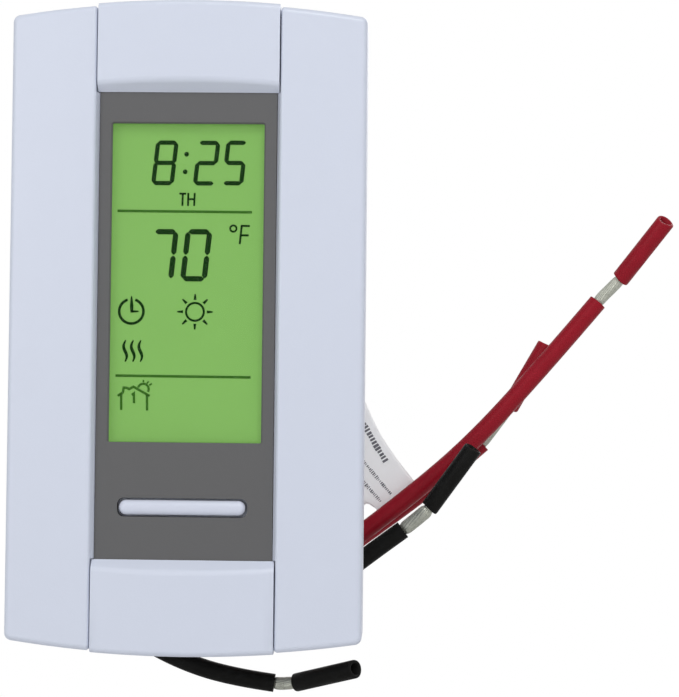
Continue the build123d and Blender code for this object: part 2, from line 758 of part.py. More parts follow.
with BuildPart() as display_bezel:
    with BuildSketch(Plane.XZ.offset(PANEL_BACK)):
        with Locations((0, (panel_top + panel_bottom) / 2)):
            Rectangle(PANEL_WIDTH - 2 * SEAT_GAP, panel_top - panel_bottom)
    extrude(amount=PANEL_THICKNESS)
    # window, with a small bevel round its front edge
    with BuildSketch(Plane.XZ.offset(PANEL_BACK)):
        with Locations((0, window_z)):
            RectangleRounded(WINDOW_WIDTH, window_height, WINDOW_CORNER)
    extrude(amount=PANEL_THICKNESS, mode=Mode.SUBTRACT)
    chamfer(
        display_bezel.faces()
        .sort_by(Axis.Y)[0]
        .inner_wires()[0]
        .edges(),
        WINDOW_BEVEL,
    )
    # frame behind the window that holds the display glass
    with BuildSketch(Plane.XZ.offset(PANEL_BACK - FRAME_DEPTH)):
        with Locations((0, window_z)):
            Rectangle(PANEL_WIDTH - 2 * SEAT_GAP, lcd_height + 2 * (FRAME_WALL + SLIDE_GAP))
            Rectangle(lcd_width + 2 * SLIDE_GAP, lcd_height + 2 * SLIDE_GAP, mode=Mode.SUBTRACT)
    extrude(amount=FRAME_DEPTH)
    # rebate for the lens
    with BuildSketch(Plane.XZ.offset(PANEL_BACK)):
        with Locations((0, window_z)):
            Rectangle(WINDOW_WIDTH + 2 * LENS_LEDGE, window_height + 2 * LENS_LEDGE)
    extrude(amount=lens_back + LENS_THICKNESS + SEAT_GAP - PANEL_BACK, mode=Mode.SUBTRACT)
    # opening for the bar key
    with BuildSketch(Plane.XZ.offset(PANEL_BACK)):
        with Locations((BAR_X, BAR_Z)):
            RectangleRounded(
                BAR_LENGTH + 2 * BAR_SLOT_MARGIN,
                BAR_HEIGHT + 2 * BAR_SLOT_MARGIN,
                BAR_CORNER + BAR_SLOT_MARGIN,
            )
    extrude(amount=PANEL_THICKNESS, mode=Mode.SUBTRACT)
keep("display_bezel", display_bezel.part)

with BuildPart() as display_lens:
    with BuildSketch(Plane.XZ.offset(lens_back)):
        with Locations((0, window_z)):
            Rectangle(
                WINDOW_WIDTH + 2 * (LENS_LEDGE - SEAT_GAP), window_height + 2 * (LENS_LEDGE - SEAT_GAP)
            )
    extrude(amount=LENS_THICKNESS)
keep("display_lens", display_lens.part)

lcd_face = PANEL_BACK
lcd_back = lcd_face - LCD_THICKNESS
with BuildPart() as lcd_panel:
    with BuildSketch(Plane.XZ.offset(lcd_back)):
        with Locations((0, window_z)):
            Rectangle(lcd_width, lcd_height)
    extrude(amount=LCD_THICKNESS / 2)
    # the front glass is shorter, so the contact edges of the back glass stay free
    with BuildSketch(Plane.XZ.offset(lcd_back + LCD_THICKNESS / 2)):
        with Locations((0, window_z)):
            Rectangle(lcd_width, lcd_height - 2 * LCD_CONTACT_EDGE)
    extrude(amount=LCD_THICKNESS / 2 - SEAT_GAP)
keep("lcd_panel", lcd_panel.part)

with BuildPart() as backlight_guide:
    with BuildSketch(Plane.XZ.offset(CONTROL_BOARD_FACE + SEAT_GAP)):
        with Locations((0, window_z)):
            Rectangle(lcd_width - 2 * STRIP_WIDTH, lcd_height - 2 * STRIP_WIDTH)
    extrude(amount=lcd_back - CONTROL_BOARD_FACE - 2 * SEAT_GAP)
    # the lower end is wedged towards the light sources
    with BuildSketch(Plane.XZ.offset(CONTROL_BOARD_FACE + SEAT_GAP)):
        with Locations((0, WINDOW_BOTTOM + LED_ROW_RISE)):
            with GridLocations(LED_PITCH, 0, LED_COUNT, 1):
                Rectangle(LED_WIDTH + 2 * SLIDE_GAP, LED_LENGTH + 2 * SLIDE_GAP)
    extrude(amount=LED_HEIGHT + SLIDE_GAP, mode=Mode.SUBTRACT)
keep("backlight_guide", backlight_guide.part)

with BuildPart() as backlight_leds:
    with BuildSketch(Plane.XZ.offset(CONTROL_BOARD_FACE)):
        with Locations((0, WINDOW_BOTTOM + LED_ROW_RISE)):
            with GridLocations(LED_PITCH, 0, LED_COUNT, 1):
                Rectangle(LED_WIDTH, LED_LENGTH)
    extrude(amount=LED_HEIGHT)
keep("backlight_leds", backlight_leds.part)

with BuildPart() as contact_strips:
    with BuildSketch(Plane.XZ.offset(CONTROL_BOARD_FACE)):
        with Locations((0, window_z)):
            with GridLocations(0, lcd_height - STRIP_WIDTH, 1, 2):
                Rectangle(lcd_width - 2 * STRIP_WIDTH, STRIP_WIDTH - 2 * SLIDE_GAP)
    extrude(amount=lcd_back - CONTROL_BOARD_FACE)
keep("contact_strips", contact_strips.part)


# ================================================================ control board
with BuildPart() as control_board:
    with BuildSketch(Plane.XZ.offset(CONTROL_BOARD_BACK)):
        RectangleRounded(CONTROL_BOARD_WIDTH, CONTROL_BOARD_HEIGHT, BOARD_CORNER)
        with GridLocations(2 * POST_X, 2 * POST_Z, 2, 2):
            Circle(MODULE_SCREW_SHANK / 2 + SEAT_GAP, mode=Mode.SUBTRACT)
    extrude(amount=BOARD_THICKNESS)
keep("control_board", control_board.part)

with BuildPart() as microcontroller:
    with BuildSketch(Plane.XZ.offset(CONTROL_BOARD_BACK - CHIP_HEIGHT)):
        with Locations((CHIP_X, CHIP_Z)):
            Rectangle(CHIP_SIZE, CHIP_SIZE)
    extrude(amount=CHIP_HEIGHT - CHIP_STAND_OFF)
    chamfer(microcontroller.edges().filter_by(Axis.Y), CHIP_SIZE / 20)
    # gull-wing leads on all four sides
    with BuildSketch(Plane.XZ.offset(CONTROL_BOARD_BACK - CHIP_STAND_OFF - CHIP_LEAD)):
        with Locations((CHIP_X, CHIP_Z)):
            with GridLocations(CHIP_PITCH, CHIP_SIZE + CHIP_LEAD_REACH, CHIP_LEADS, 2):
                Rectangle(CHIP_LEAD, CHIP_LEAD_REACH)
            with GridLocations(CHIP_SIZE + CHIP_LEAD_REACH, CHIP_PITCH, 2, CHIP_LEADS):
                Rectangle(CHIP_LEAD_REACH, CHIP_LEAD)
    extrude(amount=CHIP_LEAD + CHIP_STAND_OFF)
keep("microcontroller", microcontroller.part)

with BuildPart() as backup_capacitor:
    with BuildSketch(Plane.XZ.offset(CONTROL_BOARD_FACE)):
        with Locations((BACKUP_X, BACKUP_Z)):
            Circle(BACKUP_DIAMETER / 2)
    extrude(amount=BACKUP_HEIGHT)
    fillet(backup_capacitor.faces().sort_by(Axis.Y)[0].edges(), BACKUP_EDGE)
keep("backup_capacitor", backup_capacitor.part)

with BuildPart() as clock_crystal:
    with BuildSketch(Plane.XZ.offset(CONTROL_BOARD_BACK - CRYSTAL_HEIGHT)):
        with Locations((CRYSTAL_X, CRYSTAL_Z)):
            SlotOverall(CRYSTAL_LENGTH, CRYSTAL_WIDTH)
    extrude(amount=CRYSTAL_HEIGHT)
    fillet(clock_crystal.faces().sort_by(Axis.Y)[-1].edges(), CRYSTAL_EDGE)
keep("clock_crystal", clock_crystal.part)

with BuildPart() as room_sensor:
    with BuildSketch(Plane.XZ.offset(CONTROL_BOARD_FACE)):
        with Locations((SENSOR_X, SENSOR_Z)):
            with GridLocations(SENSOR_PITCH, 0, 2, 1):
                Circle(SENSOR_WIRE / 2)
    extrude(amount=SENSOR_RISE)
    with Locations((SENSOR_X, -CONTROL_BOARD_FACE - SENSOR_RISE, SENSOR_Z)):
        Sphere(SENSOR_BEAD / 2)
keep("room_sensor", room_sensor.part)

with BuildPart() as header_pins:
    with BuildSketch(Plane.XZ.offset(CONTROL_BOARD_BACK - HEADER_BASE)):
        with Locations((0, HEADER_Z)):
            Rectangle(HEADER_PITCH * HEADER_COUNT, HEADER_PITCH)
    extrude(amount=HEADER_BASE)
    with BuildSketch(Plane.XZ.offset(HEADER_TIP_HEIGHT)):
        with Locations((0, HEADER_Z)):
            with GridLocations(HEADER_PITCH, 0, HEADER_COUNT, 1):
                Rectangle(HEADER_PIN, HEADER_PIN)
    extrude(amount=CONTROL_BOARD_BACK - HEADER_BASE - HEADER_TIP_HEIGHT)
keep("header_pins", header_pins.part)


# ================================================================ keys
flange_face = PANEL_BACK - SEAT_GAP
switch_top = CONTROL_BOARD_FACE + SWITCH_HEIGHT
plunger_top = switch_top + SWITCH_PLUNGER_RISE
with BuildPart() as bar_key:
    with BuildSketch(Plane.XZ.offset(flange_face - KEY_FLANGE)):
        with Locations((BAR_X, BAR_Z)):
            RectangleRounded(BAR_LENGTH, BAR_HEIGHT, BAR_CORNER)
    extrude(amount=PANEL_FACE + BAR_PROUD - flange_face + KEY_FLANGE)
    fillet(bar_key.faces().sort_by(Axis.Y)[0].edges(), BAR_EDGE)
    with BuildSketch(Plane.XZ.offset(flange_face - KEY_FLANGE)):
        with Locations((BAR_X, BAR_Z)):
            RectangleRounded(
                BAR_LENGTH + 2 * KEY_FLANGE_LIP, BAR_HEIGHT + 2 * KEY_FLANGE_LIP, BAR_CORNER
            )
    extrude(amount=KEY_FLANGE)
    with BuildSketch(Plane.XZ.offset(plunger_top)):
        with Locations((BAR_X, BAR_Z)):
            Circle(BAR_STEM / 2)
    extrude(amount=flange_face - KEY_FLANGE - plunger_top)
keep("bar_key", bar_key.part)

with BuildPart() as bar_switch:
    with BuildSketch(Plane.XZ.offset(CONTROL_BOARD_FACE)):
        with Locations((BAR_X, BAR_Z)):
            Rectangle(SWITCH_SIZE, SWITCH_SIZE)
    extrude(amount=SWITCH_HEIGHT)
    chamfer(bar_switch.edges().filter_by(Axis.Y), SWITCH_SIZE / 12)
    with BuildSketch(Plane.XZ.offset(switch_top)):
        with Locations((BAR_X, BAR_Z)):
            Circle(SWITCH_PLUNGER / 2 + SEAT_GAP)
    extrude(amount=-SWITCH_BORE, mode=Mode.SUBTRACT)
keep("bar_switch", bar_switch.part)

with BuildPart() as bar_switch_plunger:
    with BuildSketch(Plane.XZ.offset(switch_top - SWITCH_BORE + BAR_TRAVEL + SEAT_GAP)):
        with Locations((BAR_X, BAR_Z)):
            Circle(SWITCH_PLUNGER / 2)
    extrude(amount=plunger_top - switch_top + SWITCH_BORE - BAR_TRAVEL - SEAT_GAP)
keep("bar_switch_plunger", bar_switch_plunger.part)

key_flange_face = DECK_BACK - SEAT_GAP
for key_index, key_name in enumerate(KEY_NAMES):
    key_x = (key_index % KEY_COLUMNS - (KEY_COLUMNS - 1) / 2) * KEY_PITCH_X
    key_z = KEY_ROW_Z + ((KEY_ROWS - 1) / 2 - key_index // KEY_COLUMNS) * KEY_PITCH_Z
    with BuildPart() as key:
        with BuildSketch(Plane.XZ.offset(key_flange_face - KEY_FLANGE)):
            with Locations((key_x, key_z)):
                RectangleRounded(KEY_WIDTH, KEY_HEIGHT, KEY_CORNER)
        extrude(amount=DECK_FACE + KEY_PROUD - key_flange_face + KEY_FLANGE)
        chamfer(key.faces().sort_by(Axis.Y)[0].edges(), KEY_EDGE)
        with BuildSketch(Plane.XZ.offset(key_flange_face - KEY_FLANGE)):
            with Locations((key_x, key_z)):
                RectangleRounded(
                    KEY_WIDTH + 2 * KEY_FLANGE_LIP, KEY_HEIGHT + 2 * KEY_FLANGE_LIP, KEY_CORNER
                )
        extrude(amount=KEY_FLANGE)
    keep(key_name, key.part)

dome_top = key_flange_face - KEY_FLANGE - KEY_TRAVEL - DOME_GAP
with BuildPart() as keypad_mat:
    with BuildSketch(Plane.XZ.offset(CONTROL_BOARD_FACE)):
        with Locations((0, KEY_ROW_Z)):
            Rectangle(MAT_WIDTH, MAT_HEIGHT)
    extrude(amount=MAT_THICKNESS)
    with BuildSketch(Plane.XZ.offset(CONTROL_BOARD_FACE + MAT_THICKNESS)):
        with Locations((0, KEY_ROW_Z)):
            with GridLocations(KEY_PITCH_X, KEY_PITCH_Z, KEY_COLUMNS, KEY_ROWS):
                SlotOverall(DOME_LENGTH, DOME_WIDTH)
    extrude(amount=dome_top - CONTROL_BOARD_FACE - MAT_THICKNESS, taper=DOME_TAPER)
keep("keypad_mat", keypad_mat.part)


# ================================================================ back plate of the module
with BuildPart() as module_back:
    with BuildSketch(Plane.XZ.offset(MODULE_BACK_HEIGHT)):
        add(casing_outline(CASE_WALL + SLIDE_GAP))
        # notches that clear the base's tabs and lug
        with Locations((TILT_TAB_X, HALF_SIDE), (-TILT_TAB_X, HALF_SIDE)):
            Rectangle(TILT_TAB_WIDTH + 2 * TILT_NOTCH_GAP, 2 * TILT_NOTCH_DEPTH, mode=Mode.SUBTRACT)
        with Locations((0, -HALF_HEIGHT)):
            Rectangle(LUG_WIDTH + 2 * TILT_NOTCH_GAP, 2 * LUG_NOTCH_DEPTH, mode=Mode.SUBTRACT)
        with Locations((0, HEADER_Z)):
            Rectangle(HEADER_PITCH * HEADER_COUNT + 2, HEADER_PITCH + 2, mode=Mode.SUBTRACT)
        with GridLocations(2 * POST_X, 2 * POST_Z, 2, 2):
            Circle(MODULE_SCREW_SHANK / 2 + SEAT_GAP, mode=Mode.SUBTRACT)
    extrude(amount=MODULE_BACK_THICKNESS)
    # spacers between the plate and the board
    with BuildSketch(Plane.XZ.offset(MODULE_BACK_HEIGHT + MODULE_BACK_THICKNESS)):
        with GridLocations(2 * POST_X, 2 * POST_Z, 2, 2):
            Circle(POST_DIAMETER / 2)
            Circle(MODULE_SCREW_SHANK / 2 + SEAT_GAP, mode=Mode.SUBTRACT)
    extrude(amount=CONTROL_BOARD_BACK - MODULE_BACK_HEIGHT - MODULE_BACK_THICKNESS)
keep("module_back", module_back.part)

with BuildPart() as module_screws:
    with BuildSketch(Plane.XZ.offset(MODULE_BACK_HEIGHT - MODULE_SCREW_HEAD_HEIGHT)):
        with GridLocations(2 * POST_X, 2 * POST_Z, 2, 2):
            Circle(MODULE_SCREW_HEAD / 2)
    extrude(amount=MODULE_SCREW_HEAD_HEIGHT)
    with BuildSketch(Plane.XZ.offset(MODULE_BACK_HEIGHT)):
        with GridLocations(2 * POST_X, 2 * POST_Z, 2, 2):
            Circle(MODULE_SCREW_SHANK / 2)
    extrude(amount=CONTROL_BOARD_FACE + MODULE_SCREW_BITE - SCREW_TIP_GAP - MODULE_BACK_HEIGHT)
keep("module_screws", module_screws.part)


# ================================================================ power base
base_rim = PARTING_HEIGHT - PARTING_GAP
box_inner_width = REAR_BOX_WIDTH - 2 * REAR_BOX_WALL
box_inner_height = REAR_BOX_HEIGHT - 2 * REAR_BOX_WALL
tab_outer = HALF_SIDE - TILT_TAB_INSET
lug_outer = -HALF_HEIGHT + CASE_WALL + CAPTIVE_CLAMP_GAP
lead_exits = [points[0][:2] for points in LEAD_ROUTES.values()]

with BuildPart() as power_base:
    with BuildSketch(Plane.XZ):
        add(casing_outline(BASE_INSET))
    extrude(amount=BASE_THICKNESS)
    with BuildSketch(Plane.XZ.offset(BASE_THICKNESS)):
        add(casing_outline(BASE_INSET))
        add(casing_outline(BASE_INSET + BASE_WALL, PLAN_CORNER / 2), mode=Mode.SUBTRACT)
    extrude(amount=base_rim - BASE_THICKNESS)
    # the box that stands into the wall behind the plate
    with BuildSketch(Plane.XZ.offset(-REAR_BOX_DEPTH)):
        RectangleRounded(REAR_BOX_WIDTH, REAR_BOX_HEIGHT, REAR_BOX_CORNER)
    extrude(amount=REAR_BOX_DEPTH)
    fillet(power_base.faces().sort_by(Axis.Y)[-1].edges(), REAR_BOX_EDGE)
    with BuildSketch(Plane.XZ.offset(REAR_BOX_WALL - REAR_BOX_DEPTH)):
        Rectangle(box_inner_width, box_inner_height)
    extrude(amount=REAR_BOX_DEPTH + BASE_THICKNESS, mode=Mode.SUBTRACT)
    # bosses and holes for the two mounting screws
    with BuildSketch(Plane.XZ.offset(BASE_THICKNESS)):
        with GridLocations(0, SCREW_SPACING, 1, 2):
            Circle(SCREW_BOSS / 2)
    extrude(amount=SCREW_BOSS_RISE)
    with BuildSketch(Plane.XZ):
        with GridLocations(0, SCREW_SPACING, 1, 2):
            Circle(SCREW_HOLE / 2)
    extrude(amount=BASE_THICKNESS + SCREW_BOSS_RISE, mode=Mode.SUBTRACT)
    # bosses under the power board, and posts under the cover
    with BuildSketch(Plane.XZ.offset(BASE_THICKNESS)):
        with GridLocations(2 * POWER_POST_X, 2 * POWER_POST_Z, 2, 2):
            Circle(POWER_BOSS / 2)
    extrude(amount=POWER_BOARD_BACK - BASE_THICKNESS)
    with BuildSketch(Plane.XZ.offset(POWER_BOARD_BACK - POWER_SCREW_BITE)):
        with GridLocations(2 * POWER_POST_X, 2 * POWER_POST_Z, 2, 2):
            Circle(POWER_SCREW_SHANK / 2 + SEAT_GAP)
    extrude(amount=POWER_SCREW_BITE, mode=Mode.SUBTRACT)
    with BuildSketch(Plane.XZ.offset(BASE_THICKNESS)):
        with GridLocations(2 * COVER_POST_X, 2 * COVER_POST_Z, 2, 2):
            Circle(COVER_POST / 2)
    extrude(amount=COVER_HEIGHT - BASE_THICKNESS)
    with BuildSketch(Plane.XZ.offset(COVER_HEIGHT - COVER_SCREW_BITE)):
        with GridLocations(2 * COVER_POST_X, 2 * COVER_POST_Z, 2, 2):
            Circle(POWER_SCREW_SHANK / 2 + SEAT_GAP)
    extrude(amount=COVER_SCREW_BITE, mode=Mode.SUBTRACT)
    # stiffening ribs between the plate and its rim
    for side in (1, -1):
        for rib_z in BASE_RIB_ROWS:
            rim_x = HALF_WIDTH - BASE_INSET - BASE_WALL / 2
            add(
                slab(
                    min(side * (rim_x - BASE_RIB_REACH), side * rim_x),
                    max(side * (rim_x - BASE_RIB_REACH), side * rim_x),
                    rib_z - BASE_RIB / 2,
                    rib_z + BASE_RIB / 2,
                    BASE_THICKNESS,
                    BASE_RIB_HEIGHT,
                )
            )
    # tabs that the control module hangs from, each with a lip into the module's end wall
    for side in (1, -1):
        add(
            slab(
                side * TILT_TAB_X - TILT_TAB_WIDTH / 2,
                side * TILT_TAB_X + TILT_TAB_WIDTH / 2,
                tab_outer - TILT_TAB,
                tab_outer,
                BASE_THICKNESS,
                TILT_TAB_TOP,
            )
        )
        add(
            slab(
                side * TILT_TAB_X - TILT_TAB_WIDTH / 2,
                side * TILT_TAB_X + TILT_TAB_WIDTH / 2,
                tab_outer - TILT_TAB / 2,
                tab_outer + TILT_LIP,
                TILT_TAB_TOP - TILT_LIP_THICKNESS,
                TILT_TAB_TOP,
            )
        )
        add(
            slab(
                side * TILT_TAB_X - TILT_TAB_WIDTH / 2,
                side * TILT_TAB_X + TILT_TAB_WIDTH / 2,
                tab_outer - TILT_TAB,
                tab_outer + BASE_WALL / 2,
                BASE_THICKNESS,
                base_rim,
            )
        )
    # lug for the captive screw
    add(slab(-LUG_WIDTH / 2, LUG_WIDTH / 2, lug_outer, lug_outer + LUG_THICKNESS, BASE_THICKNESS, LUG_TOP))
    rim_middle = -HALF_HEIGHT + BASE_INSET + BASE_WALL / 2
    add(slab(-LUG_WIDTH / 2, LUG_WIDTH / 2, rim_middle, lug_outer + ROOT_LAP, BASE_THICKNESS, base_rim))
    with BuildSketch(Plane.XY.offset(-beyond)):
        with Locations((0, -CAPTIVE_HEIGHT)):
            Circle(CAPTIVE_SHANK / 2 + SEAT_GAP)
    extrude(amount=beyond + lug_outer + LUG_THICKNESS, mode=Mode.SUBTRACT)
    with BuildSketch(Plane.XY.offset(-beyond)):
        with Locations((0, -CAPTIVE_HEIGHT)):
            Circle(head_notch_half)
    extrude(amount=beyond + head_seat + SEAT_GAP, mode=Mode.SUBTRACT)
    # bores for the lead bushings in the floor of the rear box
    with BuildSketch(Plane.XY.offset(EXIT_Z - OVERCUT)):
        with Locations(*lead_exits):
            Circle(BUSHING_BODY / 2 + SEAT_GAP)
    extrude(amount=REAR_BOX_WALL + 2 * OVERCUT, mode=Mode.SUBTRACT)
keep("power_base", power_base.part)

with BuildPart() as lead_bushings:
    with BuildSketch(Plane.XY.offset(TUBE_START_Z)):
        with Locations(*lead_exits):
            Circle(BUSHING_FLANGE / 2)
    extrude(amount=BUSHING_FLANGE_THICKNESS)
    chamfer(lead_bushings.edges().group_by(Axis.Z)[0], BUSHING_CHAMFER)
    with BuildSketch(Plane.XY.offset(EXIT_Z)):
        with Locations(*lead_exits):
            Circle(BUSHING_BODY / 2)
    extrude(amount=REAR_BOX_WALL)
    with BuildSketch(Plane.XY.offset(TUBE_START_Z)):
        with Locations(*lead_exits):
            Circle(LEAD_DIAMETER / 2 + SEAT_GAP)
    extrude(amount=BUSHING_FLANGE_THICKNESS + REAR_BOX_WALL, mode=Mode.SUBTRACT)
keep("lead_bushings", lead_bushings.part)

# ================================================================ power board
with BuildPart() as power_board:
    with BuildSketch(Plane.XZ.offset(POWER_BOARD_BACK)):
        RectangleRounded(POWER_BOARD_WIDTH, POWER_BOARD_HEIGHT, BOARD_CORNER)
        with GridLocations(2 * POWER_POST_X, 2 * POWER_POST_Z, 2, 2):
            Circle(POWER_SCREW_SHANK / 2 + SEAT_GAP, mode=Mode.SUBTRACT)
    extrude(amount=BOARD_THICKNESS)
keep("power_board", power_board.part)


def machine_screws(spacing_x, spacing_z, seat, tip, head, head_height, shank):
    """Four pan-head screws on a rectangle, driven towards the wall."""
    with BuildPart() as screws:
        with BuildSketch(Plane.XZ.offset(seat)):
            with GridLocations(spacing_x, spacing_z, 2, 2):
                Circle(head / 2)
        extrude(amount=head_height)
        chamfer(screws.edges().group_by(Axis.Y)[0], head_height / 3)
        with BuildSketch(Plane.XZ.offset(tip)):
            with GridLocations(spacing_x, spacing_z, 2, 2):
                Circle(shank / 2)
        extrude(amount=seat - tip)
    return screws.part


keep(
    "power_board_screws",
    machine_screws(
        2 * POWER_POST_X,
        2 * POWER_POST_Z,
        POWER_BOARD_FACE,
        POWER_BOARD_BACK - POWER_SCREW_BITE + SCREW_TIP_GAP,
        POWER_SCREW_HEAD,
        POWER_SCREW_HEAD_HEIGHT,
        POWER_SCREW_SHANK,
    ),
)

with BuildPart() as load_relays:
    with BuildSketch(Plane.XZ.offset(POWER_BOARD_BACK)):
        with Locations((0, RELAY_Z)):
            with GridLocations(RELAY_PITCH, 0, 2, 1):
                Rectangle(RELAY_WIDTH, RELAY_LENGTH)
    extrude(amount=-RELAY_DEPTH)
    chamfer(load_relays.faces().sort_by(Axis.Y)[-1].edges(), RELAY_EDGE)
    chamfer(load_relays.faces().filter_by(Axis.Y).sort_by(Axis.Y)[-2].edges(), RELAY_EDGE)
keep("load_relays", load_relays.part)

with BuildPart() as transformer:
    with BuildSketch(Plane.XZ.offset(POWER_BOARD_BACK)):
        with Locations((TRANSFORMER_X, TRANSFORMER_Z)):
            Rectangle(TRANSFORMER_WIDTH, TRANSFORMER_LENGTH)
    extrude(amount=-TRANSFORMER_DEPTH)
    # the winding stands out from both sides of the laminated core
    with BuildSketch(Plane.XZ.offset(POWER_BOARD_BACK - TRANSFORMER_DEPTH / 6)):
        with Locations((TRANSFORMER_X, TRANSFORMER_Z)):
            RectangleRounded(
                WINDING_WIDTH, TRANSFORMER_LENGTH + 2 * WINDING_PROUD, WINDING_PROUD / 2
            )
    extrude(amount=-TRANSFORMER_DEPTH * 2 / 3)
keep("transformer", transformer.part)

with BuildPart() as film_capacitor:
    with BuildSketch(Plane.XZ.offset(POWER_BOARD_BACK)):
        with Locations((FILM_X, TRANSFORMER_Z)):
            Rectangle(FILM_WIDTH, FILM_LENGTH)
    extrude(amount=-FILM_DEPTH)
    fillet(film_capacitor.edges().filter_by(Axis.Y), FILM_EDGE)
keep("film_capacitor", film_capacitor.part)

with BuildPart() as surge_varistor:
    with BuildSketch(Plane.YZ.offset(VARISTOR_X - VARISTOR_THICKNESS / 2)):
        with Locations((VARISTOR_DIAMETER / 2 + VARISTOR_RISE - POWER_BOARD_BACK, VARISTOR_Z)):
            Circle(VARISTOR_DIAMETER / 2)
    extrude(amount=VARISTOR_THICKNESS)
    chamfer(surge_varistor.edges(), VARISTOR_THICKNESS / 4)
    with BuildSketch(Plane.XZ.offset(POWER_BOARD_BACK)):
        with Locations((VARISTOR_X, VARISTOR_Z)):
            with GridLocations(0, VARISTOR_DIAMETER / 2, 1, 2):
                Circle(SENSOR_WIRE / 2)
    extrude(amount=-VARISTOR_RISE - VARISTOR_DIAMETER / 4)
keep("surge_varistor", surge_varistor.part)

with BuildPart() as board_socket:
    with BuildSketch(Plane.XZ.offset(POWER_BOARD_FACE)):
        with Locations((0, HEADER_Z)):
            Rectangle(HEADER_PITCH * HEADER_COUNT + 2 * SOCKET_WALL, SOCKET_HEIGHT)
    extrude(amount=SOCKET_RISE)
    with BuildSketch(Plane.XZ.offset(POWER_BOARD_FACE + SOCKET_FLOOR)):
        with Locations((0, HEADER_Z)):
            Rectangle(HEADER_PITCH * HEADER_COUNT, SOCKET_CAVITY)
    extrude(amount=SOCKET_RISE, mode=Mode.SUBTRACT)
keep("board_socket", board_socket.part)

with BuildPart() as base_cover:
    with BuildSketch(Plane.XZ.offset(COVER_HEIGHT)):
        RectangleRounded(COVER_WIDTH, COVER_LENGTH, COVER_CORNER)
        with GridLocations(2 * COVER_POST_X, 2 * COVER_POST_Z, 2, 2):
            Circle(POWER_SCREW_SHANK / 2 + SEAT_GAP, mode=Mode.SUBTRACT)
        with Locations((0, HEADER_Z)):
            Rectangle(
                HEADER_PITCH * HEADER_COUNT + 2 * SOCKET_WALL + 2 * COVER_SLOT_GAP,
                SOCKET_HEIGHT + 2 * COVER_SLOT_GAP,
                mode=Mode.SUBTRACT,
            )
    extrude(amount=COVER_THICKNESS)
keep("base_cover", base_cover.part)
keep(
    "base_cover_screws",
    machine_screws(
        2 * COVER_POST_X,
        2 * COVER_POST_Z,
        COVER_HEIGHT + COVER_THICKNESS,
        COVER_HEIGHT - COVER_SCREW_BITE + SCREW_TIP_GAP,
        POWER_SCREW_HEAD,
        POWER_SCREW_HEAD_HEIGHT,
        POWER_SCREW_SHANK,
    ),
)

with BuildPart() as captive_screw:
    with BuildSketch(Plane.XY.offset(head_seat)):
        with Locations((0, -CAPTIVE_HEIGHT)):
            Circle(CAPTIVE_HEAD / 2)
    extrude(amount=-CAPTIVE_HEAD_HEIGHT)
    with BuildSketch(Plane.XY.offset(head_seat)):
        with Locations((0, -CAPTIVE_HEIGHT)):
            Circle(CAPTIVE_SHANK / 2)
    extrude(amount=lug_outer + LUG_THICKNESS + CAPTIVE_TIP - head_seat)
    with BuildSketch(Plane.XY.offset(head_seat - CAPTIVE_HEAD_HEIGHT)):
        with Locations((0, -CAPTIVE_HEIGHT)):
            Rectangle(CAPTIVE_HEAD + OVERCUT, CAPTIVE_SLOT)
    extrude(amount=CAPTIVE_HEAD_HEIGHT / 2, mode=Mode.SUBTRACT)
keep("captive_screw", captive_screw.part)


# ================================================================ leads
def turn_radii(points):
    """Arc radii of a route: a share of the shorter run over the tangent of half the turn."""
    corners = [Vector(*point) for point in points]
    runs = [after - before for before, after in zip(corners, corners[1:])]
    return [
        ARC_SHARE * min(before.length, after.length) / math.tan(math.radians(before.get_angle(after)) / 2)
        for before, after in zip(runs, runs[1:])
    ]


def round_tube(points, radii, diameter):
    """A round rod along straight runs joined by tangent arcs."""
    with BuildPart() as tube:
        with BuildLine() as route:
            FilletPolyline(*points, radius=radii)
        with BuildSketch(Plane(origin=route.line @ 0, z_dir=route.line % 0)):
            Circle(diameter / 2)
        sweep()
    return tube.part


def along(start, end, distance):
    """The point at a distance from start towards end."""
    start, end = Vector(*start), Vector(*end)
    return start + (end - start).normalized() * distance


for lead_name, points in LEAD_ROUTES.items():
    radii = turn_radii(points)
    insulation = round_tube(points, radii, LEAD_DIAMETER)
    length = insulation.volume / (math.pi * LEAD_DIAMETER**2 / 4)
    print(lead_name, "length", round(length, 1), "radii", [round(radius, 1) for radius in radii])
    keep("lead_" + lead_name, insulation)

    # the stripped strands bend once, in the bare gap, and run on into the pushed-up sleeve
    end = Vector(*points[-1])
    knee = end + (end - Vector(*points[-2])).normalized() * KNEE_REACH
    tip = Vector(*SLEEVE_TIPS[lead_name])
    sleeve_start = along(tip, knee, SLEEVE_LENGTH)
    strand_points = [end, knee, along(sleeve_start, tip, SLEEVE_LENGTH * STRAND_SHARE)]
    strand_points = [tuple(point) for point in strand_points]
    keep("strands_" + lead_name, round_tube(strand_points, turn_radii(strand_points), CONDUCTOR_DIAMETER))
    with BuildPart() as sleeve:
        with BuildSketch(Plane(origin=sleeve_start, z_dir=tip - knee)):
            Circle(LEAD_DIAMETER / 2)
            Circle(SLEEVE_BORE / 2, mode=Mode.SUBTRACT)
        extrude(amount=SLEEVE_LENGTH)
    keep("sleeve_" + lead_name, sleeve.part)

with BuildPart() as lead_tails:
    for lead_name, points in LEAD_ROUTES.items():
        exit_x, exit_y = points[0][:2]
        turn_z = REAR_ROW_TURN_Z if exit_y == REAR_ROW_Y else FRONT_ROW_TURN_Z
        tail_points = [
            (exit_x, exit_y, TUBE_START_Z),
            (exit_x, exit_y, turn_z),
            (exit_x, -POWER_BOARD_BACK, turn_z),
        ]
        add(round_tube(tail_points, TAIL_BEND, LEAD_DIAMETER))
keep("lead_tails", lead_tails.part)

